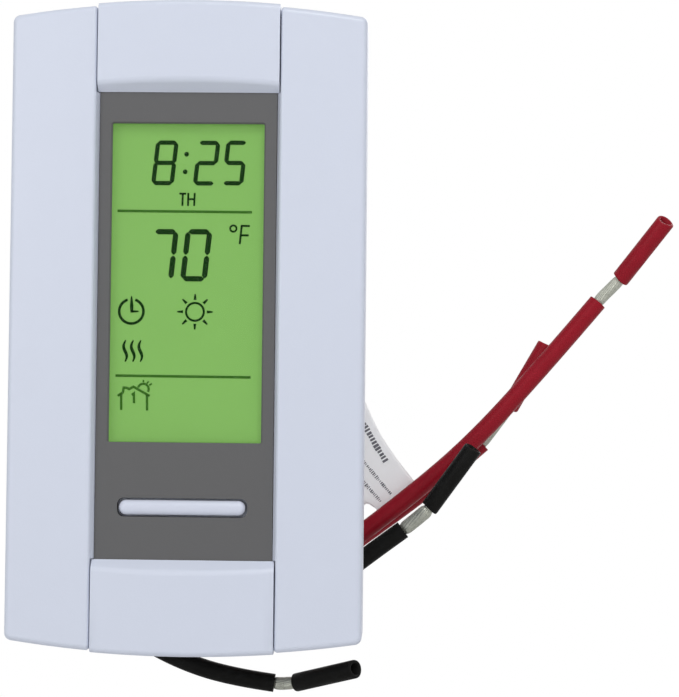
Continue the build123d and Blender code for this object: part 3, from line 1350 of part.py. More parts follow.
# paper flag folded round one lead, on the run that comes out past the side of the casing
tag_lead = LEAD_ROUTES["red_front"]
tag_from = [point for point in tag_lead if point[0] < HALF_WIDTH][-1]
tag_to = [point for point in tag_lead if point[0] > HALF_WIDTH][0]
tag_plane_y = -tag_from[1] - LEAD_DIAMETER / 2 - TAG_GAP
tag_direction = Vector(*tag_to) - Vector(*tag_from)
with BuildPart() as wire_tag:
    with BuildSketch(Plane(origin=along(tag_from, tag_to, TAG_START), z_dir=tag_direction)):
        Circle(LEAD_DIAMETER / 2 + TAG_GAP + TAG_THICKNESS)
        Circle(LEAD_DIAMETER / 2 + TAG_GAP, mode=Mode.SUBTRACT)
    extrude(amount=TAG_WRAP)
    with BuildSketch(Plane.XZ.offset(tag_plane_y - TAG_THICKNESS)):
        with BuildLine():
            Polyline(*TAG_OUTLINE)
            ThreePointArc(TAG_OUTLINE[-1], TAG_EDGE_BOW, TAG_OUTLINE[0])
        make_face()
    extrude(amount=TAG_THICKNESS)
keep("wire_tag", wire_tag.part)


# ================================================================ export
os.makedirs("parts", exist_ok=True)
for piece_name, piece in pieces.items():
    export_step(piece, f"parts/{piece_name}.step")
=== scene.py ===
"""Looks of a line-voltage wall thermostat: finishes, display figures, leads and studio.

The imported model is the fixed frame. Sizes in the classes are millimetres in that frame, with +Z up,
the display facing -Y and the wall at y = 0; they become metres when a mesh is made.
"""
import json
import logging
import math
from dataclasses import dataclass, field
from enum import Enum
from functools import cache, cached_property
from typing import Sequence

import bmesh
import bpy
import numpy as np
from bpy.types import ID, Material, Node, NodeSocket, NodeTree, Object
from mathutils import Matrix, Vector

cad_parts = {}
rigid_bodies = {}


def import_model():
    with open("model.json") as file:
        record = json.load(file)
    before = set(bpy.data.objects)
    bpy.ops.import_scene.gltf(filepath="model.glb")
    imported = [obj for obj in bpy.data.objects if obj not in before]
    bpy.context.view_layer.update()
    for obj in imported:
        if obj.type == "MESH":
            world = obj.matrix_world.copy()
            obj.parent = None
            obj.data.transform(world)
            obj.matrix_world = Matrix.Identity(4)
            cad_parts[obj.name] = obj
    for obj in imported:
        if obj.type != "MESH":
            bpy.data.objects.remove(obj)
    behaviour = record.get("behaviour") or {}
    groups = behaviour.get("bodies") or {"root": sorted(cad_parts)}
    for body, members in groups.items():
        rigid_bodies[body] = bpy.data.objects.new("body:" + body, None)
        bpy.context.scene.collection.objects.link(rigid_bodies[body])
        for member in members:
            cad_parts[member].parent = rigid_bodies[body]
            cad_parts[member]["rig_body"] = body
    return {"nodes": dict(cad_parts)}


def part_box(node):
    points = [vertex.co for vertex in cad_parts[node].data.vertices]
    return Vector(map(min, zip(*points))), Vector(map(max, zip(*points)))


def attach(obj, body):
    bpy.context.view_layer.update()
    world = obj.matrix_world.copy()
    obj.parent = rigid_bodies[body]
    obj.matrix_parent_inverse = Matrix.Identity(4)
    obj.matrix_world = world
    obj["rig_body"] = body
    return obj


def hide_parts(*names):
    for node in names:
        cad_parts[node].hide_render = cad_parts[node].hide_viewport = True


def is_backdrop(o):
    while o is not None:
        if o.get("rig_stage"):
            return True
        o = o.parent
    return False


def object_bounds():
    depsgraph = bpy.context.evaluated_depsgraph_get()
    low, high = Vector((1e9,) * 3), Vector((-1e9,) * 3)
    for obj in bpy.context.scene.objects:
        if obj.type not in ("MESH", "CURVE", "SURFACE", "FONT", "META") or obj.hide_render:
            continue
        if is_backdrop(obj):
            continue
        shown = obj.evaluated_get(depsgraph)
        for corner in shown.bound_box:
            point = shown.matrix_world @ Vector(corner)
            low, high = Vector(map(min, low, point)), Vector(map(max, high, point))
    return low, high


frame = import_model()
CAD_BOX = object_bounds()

LOG = logging.getLogger("thermostat")
MM = 0.001
# Distances in metres of points to be merged, in new pieces and in packed ones.
WELD, PACKED_WELD = 1e-7, 2e-6
Array = np.ndarray
Colour = tuple[float, float, float]
Point = tuple[float, float, float]
Flat = tuple[float, float]
Feed = NodeSocket | float | Sequence[float]


def linear(red: int, green: int, blue: int) -> Colour:
    """Linear colour of an 8-bit screen colour: ((c + 0.055) / 1.055) ** 2.4 above the toe.

    Args:
        red: Its red, 0 to 255.
        green: Its green.
        blue: Its blue.

    Returns:
        The three shares of the linear colour.
    """
    share = np.array([red, green, blue]) / 255
    light = np.where(share <= 0.04045, share / 12.92, ((share + 0.055) / 1.055) ** 2.4)
    return tuple(float(value) for value in light)


# ================================================================ numpy surfaces
def unit(vectors: Array) -> Array:
    """Vectors divided by their own lengths."""
    return vectors / np.linalg.norm(vectors, axis=-1, keepdims=True)


def join(*parts: Array | float) -> Array:
    """Points from their coordinates, each an array or one value for all points."""
    return np.stack(np.broadcast_arrays(*parts), axis=-1)


def turns(count: int) -> Array:
    """Even angles round a circle, the first at zero."""
    return np.linspace(0, math.tau, count, endpoint=False)


def length_of(points: Array) -> float:
    """Length of the straight runs between points."""
    return float(np.linalg.norm(np.diff(points, axis=0), axis=1).sum())


def at_shares(corners: Sequence[Point | Flat] | Array, share: Array) -> Array:
    """Points at shares, 0 to 1, of the way along the straight runs between corners.

    Args:
        corners: The corners, in two or three dimensions.
        share: The shares.

    Returns:
        The points, one for each share.
    """
    knots = np.array(corners, float)
    reach = np.concatenate([[0], np.cumsum(np.linalg.norm(np.diff(knots, axis=0), axis=1))])
    return np.stack([np.interp(share * reach[-1], reach, part) for part in knots.T], axis=1)


def carry(profile: Array, path: Array, reference: Point = (0.0, 1.0, 0.0)) -> Array:
    """Carries a profile along a path.

    Every path point holds the profile in the plane across the path there:
    point = path + a * side + b * rise, with side = tangent x reference and rise = side x tangent.

    Args:
        profile: Offsets (a, b), shaped (m, 2) or (n, m, 2) where they change along the path.
        path: The n points of the path.
        reference: A direction that the path never runs along.

    Returns:
        The grid of points, shaped (n, m, 3).
    """
    tangent = unit(np.gradient(path, axis=0))
    side = unit(np.cross(tangent, np.array(reference)))
    rise = np.cross(side, tangent)
    offset = profile[..., :1] * side[:, None, :] + profile[..., 1:] * rise[:, None, :]
    return path[:, None, :] + offset


def eased_path(corners: Sequence[Point], spacing: float, window: float) -> Array:
    """Even points along straight runs, each moved to the mean of its neighbourhood.

    The runs are sampled at an even spacing, carried on straight past both ends, and averaged over
    a window, which turns each corner into a short curve and leaves the rest of a run straight.

    Args:
        corners: The corners of the runs.
        spacing: Distance between the points.
        window: Length over which the points are averaged.

    Returns:
        The points, shaped (n, 3).
    """
    length = length_of(np.array(corners))
    half = max(1, int(round(window / spacing / 2)))
    count = int(round(length / spacing)) + 1
    points = at_shares(corners, np.linspace(0, 1, count))
    first, last = unit(points[1] - points[0]), unit(points[-1] - points[-2])
    steps = np.arange(1, half + 1)[:, None] * length / (count - 1)
    longer = np.concatenate([points[0] - steps[::-1] * first, points, points[-1] + steps * last])
    kernel = np.ones(2 * half + 1) / (2 * half + 1)
    return np.stack([np.convolve(part, kernel, "valid") for part in longer.T], axis=1)


def show(name: str, data: ID) -> Object:
    """Puts an object with the given data into the scene.

    Args:
        name: The object's name.
        data: Its mesh, curve, light or camera.

    Returns:
        The object.
    """
    piece = bpy.data.objects.new(name, data)
    bpy.context.scene.collection.objects.link(piece)
    return piece


def declare(piece: Object, body: str, slot: str, *nodes: str) -> Object:
    """Rides a piece on its body, hides the nodes it stands for, and logs its material slot.

    Args:
        piece: The finished piece.
        body: The body that it moves with.
        slot: The record's material slot.
        nodes: The nodes that it replaces.

    Returns:
        The same piece.
    """
    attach(piece, body)
    if nodes:
        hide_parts(*nodes)
    stands = ", ".join(nodes) or "itself"
    LOG.info("%s rides on %s, finish slot %s, stands for %s", piece.name, body, slot, stands)
    return piece


@dataclass
class Surface:
    """Gathers grids of points as four-cornered faces and makes one object of them."""

    name: str
    points: list[Array] = field(default_factory=list)
    corners: list[Array] = field(default_factory=list)

    def add_grid(self, grid: Array, ring_rows: bool = False, ring_columns: bool = False) -> None:
        """Adds a grid of points as a surface.

        A face joins point (r, c) to (r + 1, c), (r + 1, c + 1) and (r, c + 1).

        Args:
            grid: The points, shaped (rows, columns, 3).
            ring_rows: Whether the last row joins the first.
            ring_columns: Whether the last column joins the first.
        """
        rows, columns = grid.shape[:2]
        index = np.arange(rows * columns).reshape(rows, columns) + sum(map(len, self.points))
        index = np.pad(index, ((0, int(ring_rows)), (0, int(ring_columns))), mode="wrap")
        corners = [index[:-1, :-1], index[1:, :-1], index[1:, 1:], index[:-1, 1:]]
        self.points.append(grid.reshape(-1, 3))
        self.corners.append(np.stack(corners, axis=-1).reshape(-1, 4))

    def add_ribbon(self, path: Array, half_width: Array | float, height: Array | float) -> None:
        """Adds a flat stroke that faces the room.

        The stroke's two edges are path + and - half_width * normal, with each inner normal
        lengthened by one over the cosine of half the turn, so that corners are mitred.

        Args:
            path: Points (x, z) of the stroke's middle line.
            half_width: Half the stroke's width, at every point or all along.
            height: Its y, at every point or all along.
        """
        run = unit(np.diff(path, axis=0))
        after = np.vstack([run, run[-1:]])
        along = unit(np.vstack([run[:1], run]) + after)
        mitre = half_width / np.clip(np.sum(along * after, axis=1), 0.4, 1)
        offset = join(along[:, 1], -along[:, 0]) * mitre[:, None]
        edges = np.stack([path + offset, path - offset], axis=1)
        self.add_grid(join(edges[..., 0], np.reshape(height, (-1, 1)), edges[..., 1]))

    def make(
        self, finish: Material, closed: bool = True, crease: float = 35.0
    ) -> Object:
        """Makes the object.

        Args:
            finish: Its material.
            closed: Whether the grids make closed forms, so that the normals are turned outwards;
                the faces of an open piece are turned towards the room.
            crease: The edge angle in degrees above which shading breaks.

        Returns:
            The object, at the origin, with its place in its mesh.
        """
        points = np.concatenate(self.points) * MM
        corners = np.concatenate(self.corners)
        if not closed:
            across = points[corners[:, 2]] - points[corners[:, 0]]
            other = points[corners[:, 3]] - points[corners[:, 1]]
            away = np.cross(across, other)[:, 1] > 0
            corners[away] = corners[away][:, ::-1]
        mesh = bpy.data.meshes.new(self.name)
        mesh.vertices.add(len(points))
        mesh.vertices.foreach_set("co", points.ravel())
        mesh.loops.add(corners.size)
        mesh.loops.foreach_set("vertex_index", corners.ravel())
        mesh.polygons.add(len(corners))
        mesh.polygons.foreach_set("loop_start", np.arange(len(corners)) * 4)
        mesh.update(calc_edges=True)
        work = bmesh.new()
        work.from_mesh(mesh)
        bmesh.ops.remove_doubles(work, verts=work.verts, dist=WELD)
        bmesh.ops.dissolve_degenerate(work, edges=work.edges, dist=WELD / 10)
        if closed:
            bmesh.ops.recalc_face_normals(work, faces=work.faces)
        work.to_mesh(mesh)
        work.free()
        mesh.shade_smooth()
        mesh.set_sharp_from_angle(angle=math.radians(crease))
        mesh.materials.append(finish)
        return show(self.name, mesh)


# ================================================================ shader building
@dataclass
class Canvas:
    """Adds shader nodes to a tree and joins them."""

    tree: NodeTree

    def node(
        self, kind: str, feeds: dict[str | int, Feed] | None = None, **settings: object
    ) -> Node:
        """Adds a node.

        Args:
            kind: The node's type name after its first word, ShaderNode.
            feeds: What each input takes: a socket to join, or a plain value.
            settings: The node's own settings.

        Returns:
            The node.
        """
        node = self.tree.nodes.new("ShaderNode" + kind)
        for key, value in settings.items():
            setattr(node, key, value)
        for key, value in (feeds or {}).items():
            self.feed(node.inputs[key], value)
        return node

    def feed(self, target: NodeSocket, value: Feed) -> None:
        """Joins a socket to an input, or sets the input's plain value.

        Args:
            target: The input.
            value: What it takes.
        """
        if isinstance(value, NodeSocket):
            self.tree.links.new(value, target)
        elif isinstance(value, (tuple, list)) and len(value) == 3 and target.type == "RGBA":
            target.default_value = (*value, 1.0)
        else:
            target.default_value = value

    def maths(self, operation: str, first: Feed, second: Feed = 0.0) -> NodeSocket:
        """A maths operation on two values."""
        return self.node("Math", {0: first, 1: second}, operation=operation).outputs[0]

    def vectors(self, operation: str, *values: Feed) -> NodeSocket:
        """A maths operation on vectors."""
        return self.node("VectorMath", dict(enumerate(values)), operation=operation).outputs[0]

    def times(self, first: Feed, second: Feed) -> NodeSocket:
        """The product of two values."""
        return self.maths("MULTIPLY", first, second)

    def plus(self, first: Feed, second: Feed) -> NodeSocket:
        """The sum of two values."""
        return self.maths("ADD", first, second)

    def noise(
        self, vector: Feed, scale: Feed, detail: float = 3.0, twist: float = 0.0
    ) -> NodeSocket:
        """Fractal noise, 0 to 1, around 0.5."""
        feeds = {"Vector": vector, "Scale": scale, "Detail": detail, "Distortion": twist}
        return self.node("TexNoise", feeds).outputs["Fac"]

    def remap(
        self, value: Feed, low: Feed, high: Feed, to_low: Feed = 0.0, to_high: Feed = 1.0
    ) -> NodeSocket:
        """A value carried from one range to another, clamped.

        Args:
            value: The value.
            low: The start of its own range.
            high: The end of its own range.
            to_low: The start of the new range.
            to_high: The end of the new range.

        Returns:
            The new value.
        """
        feeds = {"Value": value, "From Min": low, "From Max": high}
        feeds |= {"To Min": to_low, "To Max": to_high}
        return self.node("MapRange", feeds).outputs["Result"]

    def mix(self, factor: Feed, first: Feed, second: Feed, blend: str = "MIX") -> NodeSocket:
        """A mix of two colours."""
        feeds = {0: factor, 6: first, 7: second}
        return self.node("Mix", feeds, data_type="RGBA", blend_type=blend).outputs[2]

    def seen(self) -> NodeSocket:
        """One for rays that the camera, gloss and clear pieces send, and zero for the others.

        Returns:
            The value.
        """
        path = self.node("LightPath").outputs
        seen = self.maths("MAXIMUM", path["Is Camera Ray"], path["Is Glossy Ray"])
        return self.maths("MAXIMUM", seen, path["Is Transmission Ray"])


class Effect(Canvas):
    """A shared effect under way: a shader node group with named inputs and outputs."""

    def __init__(self, name: str, outputs: Sequence[str], **inputs: Feed | None) -> None:
        """Starts the group, whose first input is the vector.

        Args:
            name: The group's name.
            outputs: The outputs' names; Color is a colour and the others are values.
            inputs: The default of each further input: a value, a colour, or None for a vector.
        """
        super().__init__(bpy.data.node_groups.new(name, "ShaderNodeTree"))
        kinds = {float: "Float", tuple: "Color", type(None): "Vector"}
        add = self.tree.interface.new_socket
        for key, value in {"Vector": None, **inputs}.items():
            socket = add(key, in_out="INPUT", socket_type="NodeSocket" + kinds[type(value)])
            if value is not None:
                socket.default_value = (*value, 1.0) if isinstance(value, tuple) else value
        for key in outputs:
            kind = "Color" if key == "Color" else "Float"
            add(key, in_out="OUTPUT", socket_type="NodeSocket" + kind)
        self.given = self.tree.nodes.new("NodeGroupInput").outputs
        self.sink = self.tree.nodes.new("NodeGroupOutput").inputs
        self.vector = self.given["Vector"]

    def __getitem__(self, name: str) -> NodeSocket:
        """What the group is given as its input of that name."""
        return self.given[name]

    def drift(self, scale: Feed, detail: float, amount: Feed) -> NodeSocket:
        """Slow noise about zero: amount * (noise - 0.5)."""
        slow = self.noise(self.vector, scale, detail)
        return self.times(self.maths("SUBTRACT", slow, 0.5), amount)

    def give(self, **values: Feed) -> NodeTree:
        """Joins values to the outputs of their names.

        Args:
            values: What each output puts out.

        Returns:
            The finished group.
        """
        for key, value in values.items():
            self.feed(self.sink[key], value)
        return self.tree


class Effects:
    """The surface effects that several finishes share, each built when it is first used."""

    @cached_property
    def tone_drift(self) -> NodeTree:
        """A colour that drifts lighter and darker: colour * (1 + amount * (slow noise - 0.5)).

        Returns:
            The finished group.
        """
        group = Effect("tone_drift", ["Color"], Color=(0.5, 0.5, 0.5), Scale=40.0, Amount=0.05)
        factor = group.plus(group.drift(group["Scale"], 4.0, group["Amount"]), 1.0)
        feeds = {"Red": factor, "Green": factor, "Blue": factor}
        grey = group.node("CombineColor", feeds).outputs[0]
        return group.give(Color=group.mix(1.0, group["Color"], grey, "MULTIPLY"))

    @cached_property
    def moulded_grain(self) -> NodeTree:
        """The spark-eroded texture of a moulding tool: rounded pits over a finer noise.

        Returns:
            The finished group.
        """
        outputs, values = ["Height", "Roughness"], {"Roughness": 0.4, "Spread": 0.08}
        group = Effect("moulded_grain", outputs, Scale=2500.0, **values)
        scale = group["Scale"]
        feeds = {"Vector": group.vector, "Scale": scale}
        pits = group.node("TexVoronoi", feeds, feature="SMOOTH_F1").outputs["Distance"]
        fine = group.noise(group.vector, group.times(scale, 1.7), detail=2.0)
        drift = group.drift(group.times(scale, 0.03), 3.0, group["Spread"])
        return group.give(
            Height=group.plus(group.times(pits, 0.6), group.times(fine, 0.4)),
            Roughness=group.plus(group["Roughness"], drift),
        )

    @cached_property
    def handling_film(self) -> NodeTree:
        """The faint uneven film that touching leaves on a glossy face, as added roughness.

        Returns:
            The finished group.
        """
        outputs, values = ["Roughness", "Mask"], {"Roughness": 0.1, "Amount": 0.1}
        group = Effect("handling_film", outputs, Scale=90.0, **values)
        blots = group.noise(group.vector, group["Scale"], detail=5.0, twist=1.2)
        mask = group.remap(blots, low=0.48, high=0.68)
        added = group.times(mask, group["Amount"])
        return group.give(Mask=mask, Roughness=group.plus(group["Roughness"], added))

    @cached_property
    def drawn_metal(self) -> NodeTree:
        """Fine lines left by drawing or turning: noise squeezed along the vector's long axis.

        Returns:
            The finished group.
        """
        outputs, tones = ["Color", "Height", "Roughness"], {"Light": (0.7, 0.7, 0.68)}
        group = Effect("drawn_metal", outputs, Scale=900.0, Dark=(0.4, 0.4, 0.39), **tones)
        lines = group.noise(group.vector, group["Scale"], detail=4.0)
        tarnish = group.noise(group.vector, group.times(group["Scale"], 0.15), detail=3.0)
        shade = group.plus(group.times(lines, 0.5), group.times(tarnish, 0.5))
        mask = group.remap(shade, low=0.36, high=0.64)
        return group.give(
            Color=group.mix(mask, group["Dark"], group["Light"]),
            Height=lines,
            Roughness=group.remap(tarnish, 0.3, 0.7, to_low=0.22, to_high=0.42),
        )

    @cached_property
    def board_artwork(self) -> NodeTree:
        """Tracks under solder mask.

        Square cells choose at random between upright and level tracks, which are the parts of a
        wave above a threshold; round lands sit at the middle of some of the cells.

        Returns:
            The finished group.
        """
        greens = {"Mask": (0.02, 0.16, 0.06), "Track": (0.05, 0.26, 0.1)}
        values = {"Cell": 130.0, "Pitch": 130.0, "Land": (0.65, 0.63, 0.58)}
        group = Effect("board_artwork", ["Color", "Height", "Land"], **values, **greens)
        feeds = {"Vector": group.vector, "Scale": group["Cell"], "Randomness": 0.85}
        cells = group.node("TexVoronoi", feeds, distance="CHEBYCHEV").outputs
        part = group.node("SeparateXYZ", {"Vector": group.vector}).outputs
        pick = group.node("SeparateColor", {"Color": cells["Color"]}).outputs["Red"]
        upright = group.maths("GREATER_THAN", pick, 0.5)
        level = group.maths("SUBTRACT", 1.0, upright)
        across = group.plus(group.times(part["X"], upright), group.times(part["Z"], level))
        phase = group.times(group.times(across, group["Pitch"]), math.tau)
        track = group.remap(group.maths("SINE", phase), low=0.0, high=0.15)
        land = group.remap(cells["Distance"], low=0.17, high=0.14)
        green = group.mix(track, group["Mask"], group["Track"])
        return group.give(
            Color=group.mix(land, green, group["Land"]),
            Height=group.maths("MAXIMUM", track, land),
            Land=land,
        )

    @cached_property
    def inside_box(self) -> NodeTree:
        """One inside an upright box and zero outside: |v - centre| is below half its size.

        Returns:
            The finished group.
        """
        group = Effect("inside_box", ["Mask"], Centre=None, Half=None)
        away = group.vectors("SUBTRACT", group.vector, group["Centre"])
        room = group.vectors("SUBTRACT", group["Half"], group.vectors("ABSOLUTE", away))
        x, y, z = group.node("SeparateXYZ", {"Vector": room}).outputs
        least = group.maths("MINIMUM", x, group.maths("MINIMUM", y, z))
        return group.give(Mask=group.maths("GREATER_THAN", least, 0.0))


EFFECTS = Effects()


class Paint(Canvas):
    """A material under way, with its shader and its Object coordinates."""

    def __init__(
        self, name: str, centre: Point = (0.0, 0.0, 0.0), stretch: Point = (1.0, 1.0, 1.0)
    ) -> None:
        """Starts the material.

        Args:
            name: The material's name.
            centre: Where its coordinates are zero, in millimetres.
            stretch: How they are stretched along the axes.
        """
        self.material = bpy.data.materials.new(name)
        self.material.use_nodes = True
        super().__init__(self.material.node_tree)
        self.shader = self.tree.nodes["Principled BSDF"]
        source = self.node("TexCoord").outputs["Object"]
        shift = tuple(-value * MM for value in centre)
        moved = self.node("Mapping", {"Vector": source, "Location": shift}).outputs[0]
        self.vector = self.node("Mapping", {"Vector": moved, "Scale": stretch}).outputs[0]

    def group(self, tree: NodeTree, **values: Feed) -> Sequence[NodeSocket]:
        """Places a shared effect with its own values and returns its outputs."""
        return self.node("Group", {"Vector": self.vector, **values}, node_tree=tree).outputs

    def tone(self, colour: Feed, scale: float, amount: float) -> NodeSocket:
        """A colour that drifts over the piece."""
        return self.group(EFFECTS.tone_drift, Color=colour, Scale=scale, Amount=amount)["Color"]

    def bump(self, height: NodeSocket, depth: float) -> None:
        """Feeds the shader's normal from a height, whose full step is depth in metres."""
        feeds = {"Height": height, "Distance": depth, "Strength": 1.0}
        self.shade(normal=self.node("Bump", feeds).outputs[0])

    def shade(
        self, colour: Feed | None = None, roughness: Feed | None = None, **others: Feed
    ) -> Material:
        """Feeds the shader.

        Args:
            colour: Its base colour.
            roughness: Its roughness.
            others: What other inputs take, named in lower case; specular is the reflection level.

        Returns:
            The material.
        """
        given = {"base_color": colour, "roughness": roughness, **others}
        for key, value in given.items():
            name = "Specular IOR Level" if key == "specular" else key.replace("_", " ").title()
            if value is not None:
                self.feed(self.shader.inputs[name], value)
        return self.material


# ================================================================ finishes
@dataclass(frozen=True)
class MouldedPlastic:
    """Injection-moulded plastic with its tool's texture and a slow drift in tone."""

    name: str
    colour: Colour
    roughness: float = 0.42
    depth: float = 0.000012
    drift: float = 0.03
    specular: float = 0.5
    grain: float = 2600.0
    patch: float = 28.0
    spread: float = 0.1

    def build(self) -> Material:
        """Builds the material.

        Returns:
            The material.
        """
        paint = Paint(self.name)
        values = {"Scale": self.grain, "Roughness": self.roughness, "Spread": self.spread}
        grain = paint.group(EFFECTS.moulded_grain, **values)
        paint.bump(grain["Height"], self.depth)
        tone = paint.tone(self.colour, self.patch, self.drift)
        return paint.shade(tone, grain["Roughness"], specular=self.specular)


@dataclass(frozen=True)
class ClearWindow:
    """Clear moulded window: thin, glossy, with a faint film of touch marks."""

    name: str
    colour: Colour
    cover: float
    touched: float = 0.96

    def build(self) -> Material:
        """Builds the material.

        Returns:
            The material.
        """
        paint = Paint(self.name)
        film = paint.group(EFFECTS.handling_film, Scale=55.0, Roughness=0.05, Amount=0.12)
        darker = tuple(self.touched * value for value in self.colour)
        tone = paint.mix(film["Mask"], self.colour, darker)
        return paint.shade(tone, film["Roughness"], alpha=self.cover)


@dataclass(frozen=True)
class DisplayGlass:
    """Lit liquid-crystal glass: an even glow from behind, with the diffuser's fine sparkle."""

    name: str
    colour: Colour
    glow: float = 0.5

    def build(self) -> Material:
        """Builds the material: the glow's share of the colour is given out, the rest reflected.

        Returns:
            The material.
        """
        paint = Paint(self.name)
        base = tuple((1 - self.glow) * value for value in self.colour)
        lit = tuple(self.glow * value for value in self.colour)
        sparkle = paint.tone(lit, scale=1800.0, amount=0.08)
        paint.shade(paint.tone(base, scale=35.0, amount=0.05), 0.35, specular=0.2)
        return paint.shade(emission_color=sparkle, emission_strength=1.0)


@dataclass(frozen=True)
class PrintedInk:
    """A thin printed or switched film, slightly uneven in density."""

    name: str
    colour: Colour
    roughness: float = 0.55

    def build(self) -> Material:
        """Builds the material.

        Returns:
            The material.
        """
        paint = Paint(self.name)
        tone = paint.tone(self.colour, scale=700.0, amount=0.25)
        return paint.shade(tone, self.roughness, specular=0.05)


@dataclass(frozen=True)
class WireInsulation:
    """Extruded PVC insulation: glossy, faintly rippled, with lighter patches that are part rubbing
    wear, part painted sheen.
    """

    name: str
    colour: Colour
    # the insulation's lit colour, laid in blotches as rubbing wear and painted sheen
    rubbed_and_lit: Colour
    specular: float
    roughness: float = 0.4
    wear_and_sheen: float = 0.3

    def build(self) -> Material:
        """Builds the material.

        Returns:
            The material.
        """
        paint = Paint(self.name)
        values = {"Scale": 260.0, "Roughness": self.roughness, "Amount": 0.25}
        film = paint.group(EFFECTS.handling_film, **values)
        paint.bump(paint.noise(paint.vector, scale=900.0), depth=0.00004)
        tone = paint.tone(self.colour, scale=160.0, amount=0.22)
        # painted sheen and wear: random blotches mixed towards the insulation's lit colour
        worn_and_lit = paint.mix(paint.times(film["Mask"], self.wear_and_sheen), tone, self.rubbed_and_lit)
        return paint.shade(worn_and_lit, film["Roughness"], specular=self.specular)


@dataclass(frozen=True)
class BareMetal:
    """Drawn, plated or turned metal with fine lines and a little tarnish."""

    name: str
    light: Colour
    dark: Colour
    scale: float = 900.0
    stretch: Point = (1.0, 1.0, 1.0)
    metallic: float = 1.0

    def build(self) -> Material:
        """Builds the material.

        Returns:
            The material.
        """
        paint = Paint(self.name, stretch=self.stretch)
        values = {"Scale": self.scale, "Light": self.light, "Dark": self.dark}
        metal = paint.group(EFFECTS.drawn_metal, **values)
        paint.bump(metal["Height"], depth=0.00002)
        return paint.shade(metal["Color"], metal["Roughness"], metallic=self.metallic)


@dataclass(frozen=True)
class TagPaper:
    """Uncoated white label paper with its fibres."""

    name: str
    colour: Colour

    def build(self) -> Material:
        """Builds the material.

        Returns:
            The material.
        """
        paint = Paint(self.name)
        fibres = paint.noise(paint.vector, scale=1500.0, detail=6.0, twist=2.0)
        paint.bump(fibres, depth=0.00003)
        tone = paint.tone(self.colour, scale=120.0, amount=0.08)
        return paint.shade(tone, 0.8, specular=0.2)


@dataclass(frozen=True)
class BoardLaminate:
    """Glass-epoxy board with tracks under its solder mask and a bare edge."""

    name: str
    mask: Colour
    track: Colour
    pitch: float
    land: Colour = (0.62, 0.6, 0.56)
    edge: Colour = (0.42, 0.4, 0.2)

    def build(self) -> Material:
        """Builds the material, whose artwork is on the faces that look along y.

        Returns:
            The material.
        """
        paint = Paint(self.name)
        values = {"Pitch": self.pitch, "Mask": self.mask, "Track": self.track, "Land": self.land}
        art = paint.group(EFFECTS.board_artwork, Cell=130.0, **values)
        normal = paint.node("NewGeometry").outputs["Normal"]
        facing = paint.node("SeparateXYZ", {"Vector": normal}).outputs["Y"]
        face = paint.maths("GREATER_THAN", paint.maths("ABSOLUTE", facing), 0.6)
        paint.bump(art["Height"], depth=0.00004)
        tone = paint.mix(face, self.edge, art["Color"])
        rough = paint.remap(art["Land"], 0.0, 1.0, to_low=0.38, to_high=0.25)
        return paint.shade(tone, rough, metallic=paint.times(art["Land"], face))


@dataclass(frozen=True)
class BodyAndWires:
    """A component whose body is resin or plastic inside a box, with metal leads outside it."""

    name: str
    colour: Colour
    centre: Point
    half: Point
    roughness: float
    light: Colour = (0.72, 0.71, 0.68)
    dark: Colour = (0.5, 0.49, 0.46)

    def build(self) -> Material:
        """Builds the material.

        Returns:
            The material.
        """
        paint = Paint(self.name)
        centre, half = (tuple(value * MM for value in point) for point in (self.centre, self.half))
        inside = paint.group(EFFECTS.inside_box, Centre=centre, Half=half)["Mask"]
        values = {"Scale": 1500.0, "Light": self.light, "Dark": self.dark}
        metal = paint.group(EFFECTS.drawn_metal, **values)["Color"]
        paint.bump(paint.noise(paint.vector, scale=2600.0), depth=0.000015)
        tone = paint.mix(inside, metal, paint.tone(self.colour, scale=300.0, amount=0.15))
        rough = paint.remap(inside, 0.0, 1.0, to_low=0.3, to_high=self.roughness)
        return paint.shade(tone, rough, metallic=paint.maths("SUBTRACT", 1.0, inside))


@dataclass(frozen=True)
class StripedElastomer:
    """Contact strip of thin conducting and insulating layers."""

    name: str
    dark: Colour = (0.02, 0.02, 0.02)
    light: Colour = (0.5, 0.42, 0.36)
    layers: float = 5000.0

    def build(self) -> Material:
        """Builds the material, whose light bands are the parts of sin(x) above zero.

        Returns:
            The material.
        """
        paint = Paint(self.name)
        across = paint.node("SeparateXYZ", {"Vector": paint.vector}).outputs["X"]
        wave = paint.maths("SINE", paint.times(across, math.tau * self.layers))
        light = paint.tone(self.light, scale=200.0, amount=0.1)
        return paint.shade(paint.mix(paint.remap(wave, -0.1, 0.1), self.dark, light), 0.6)


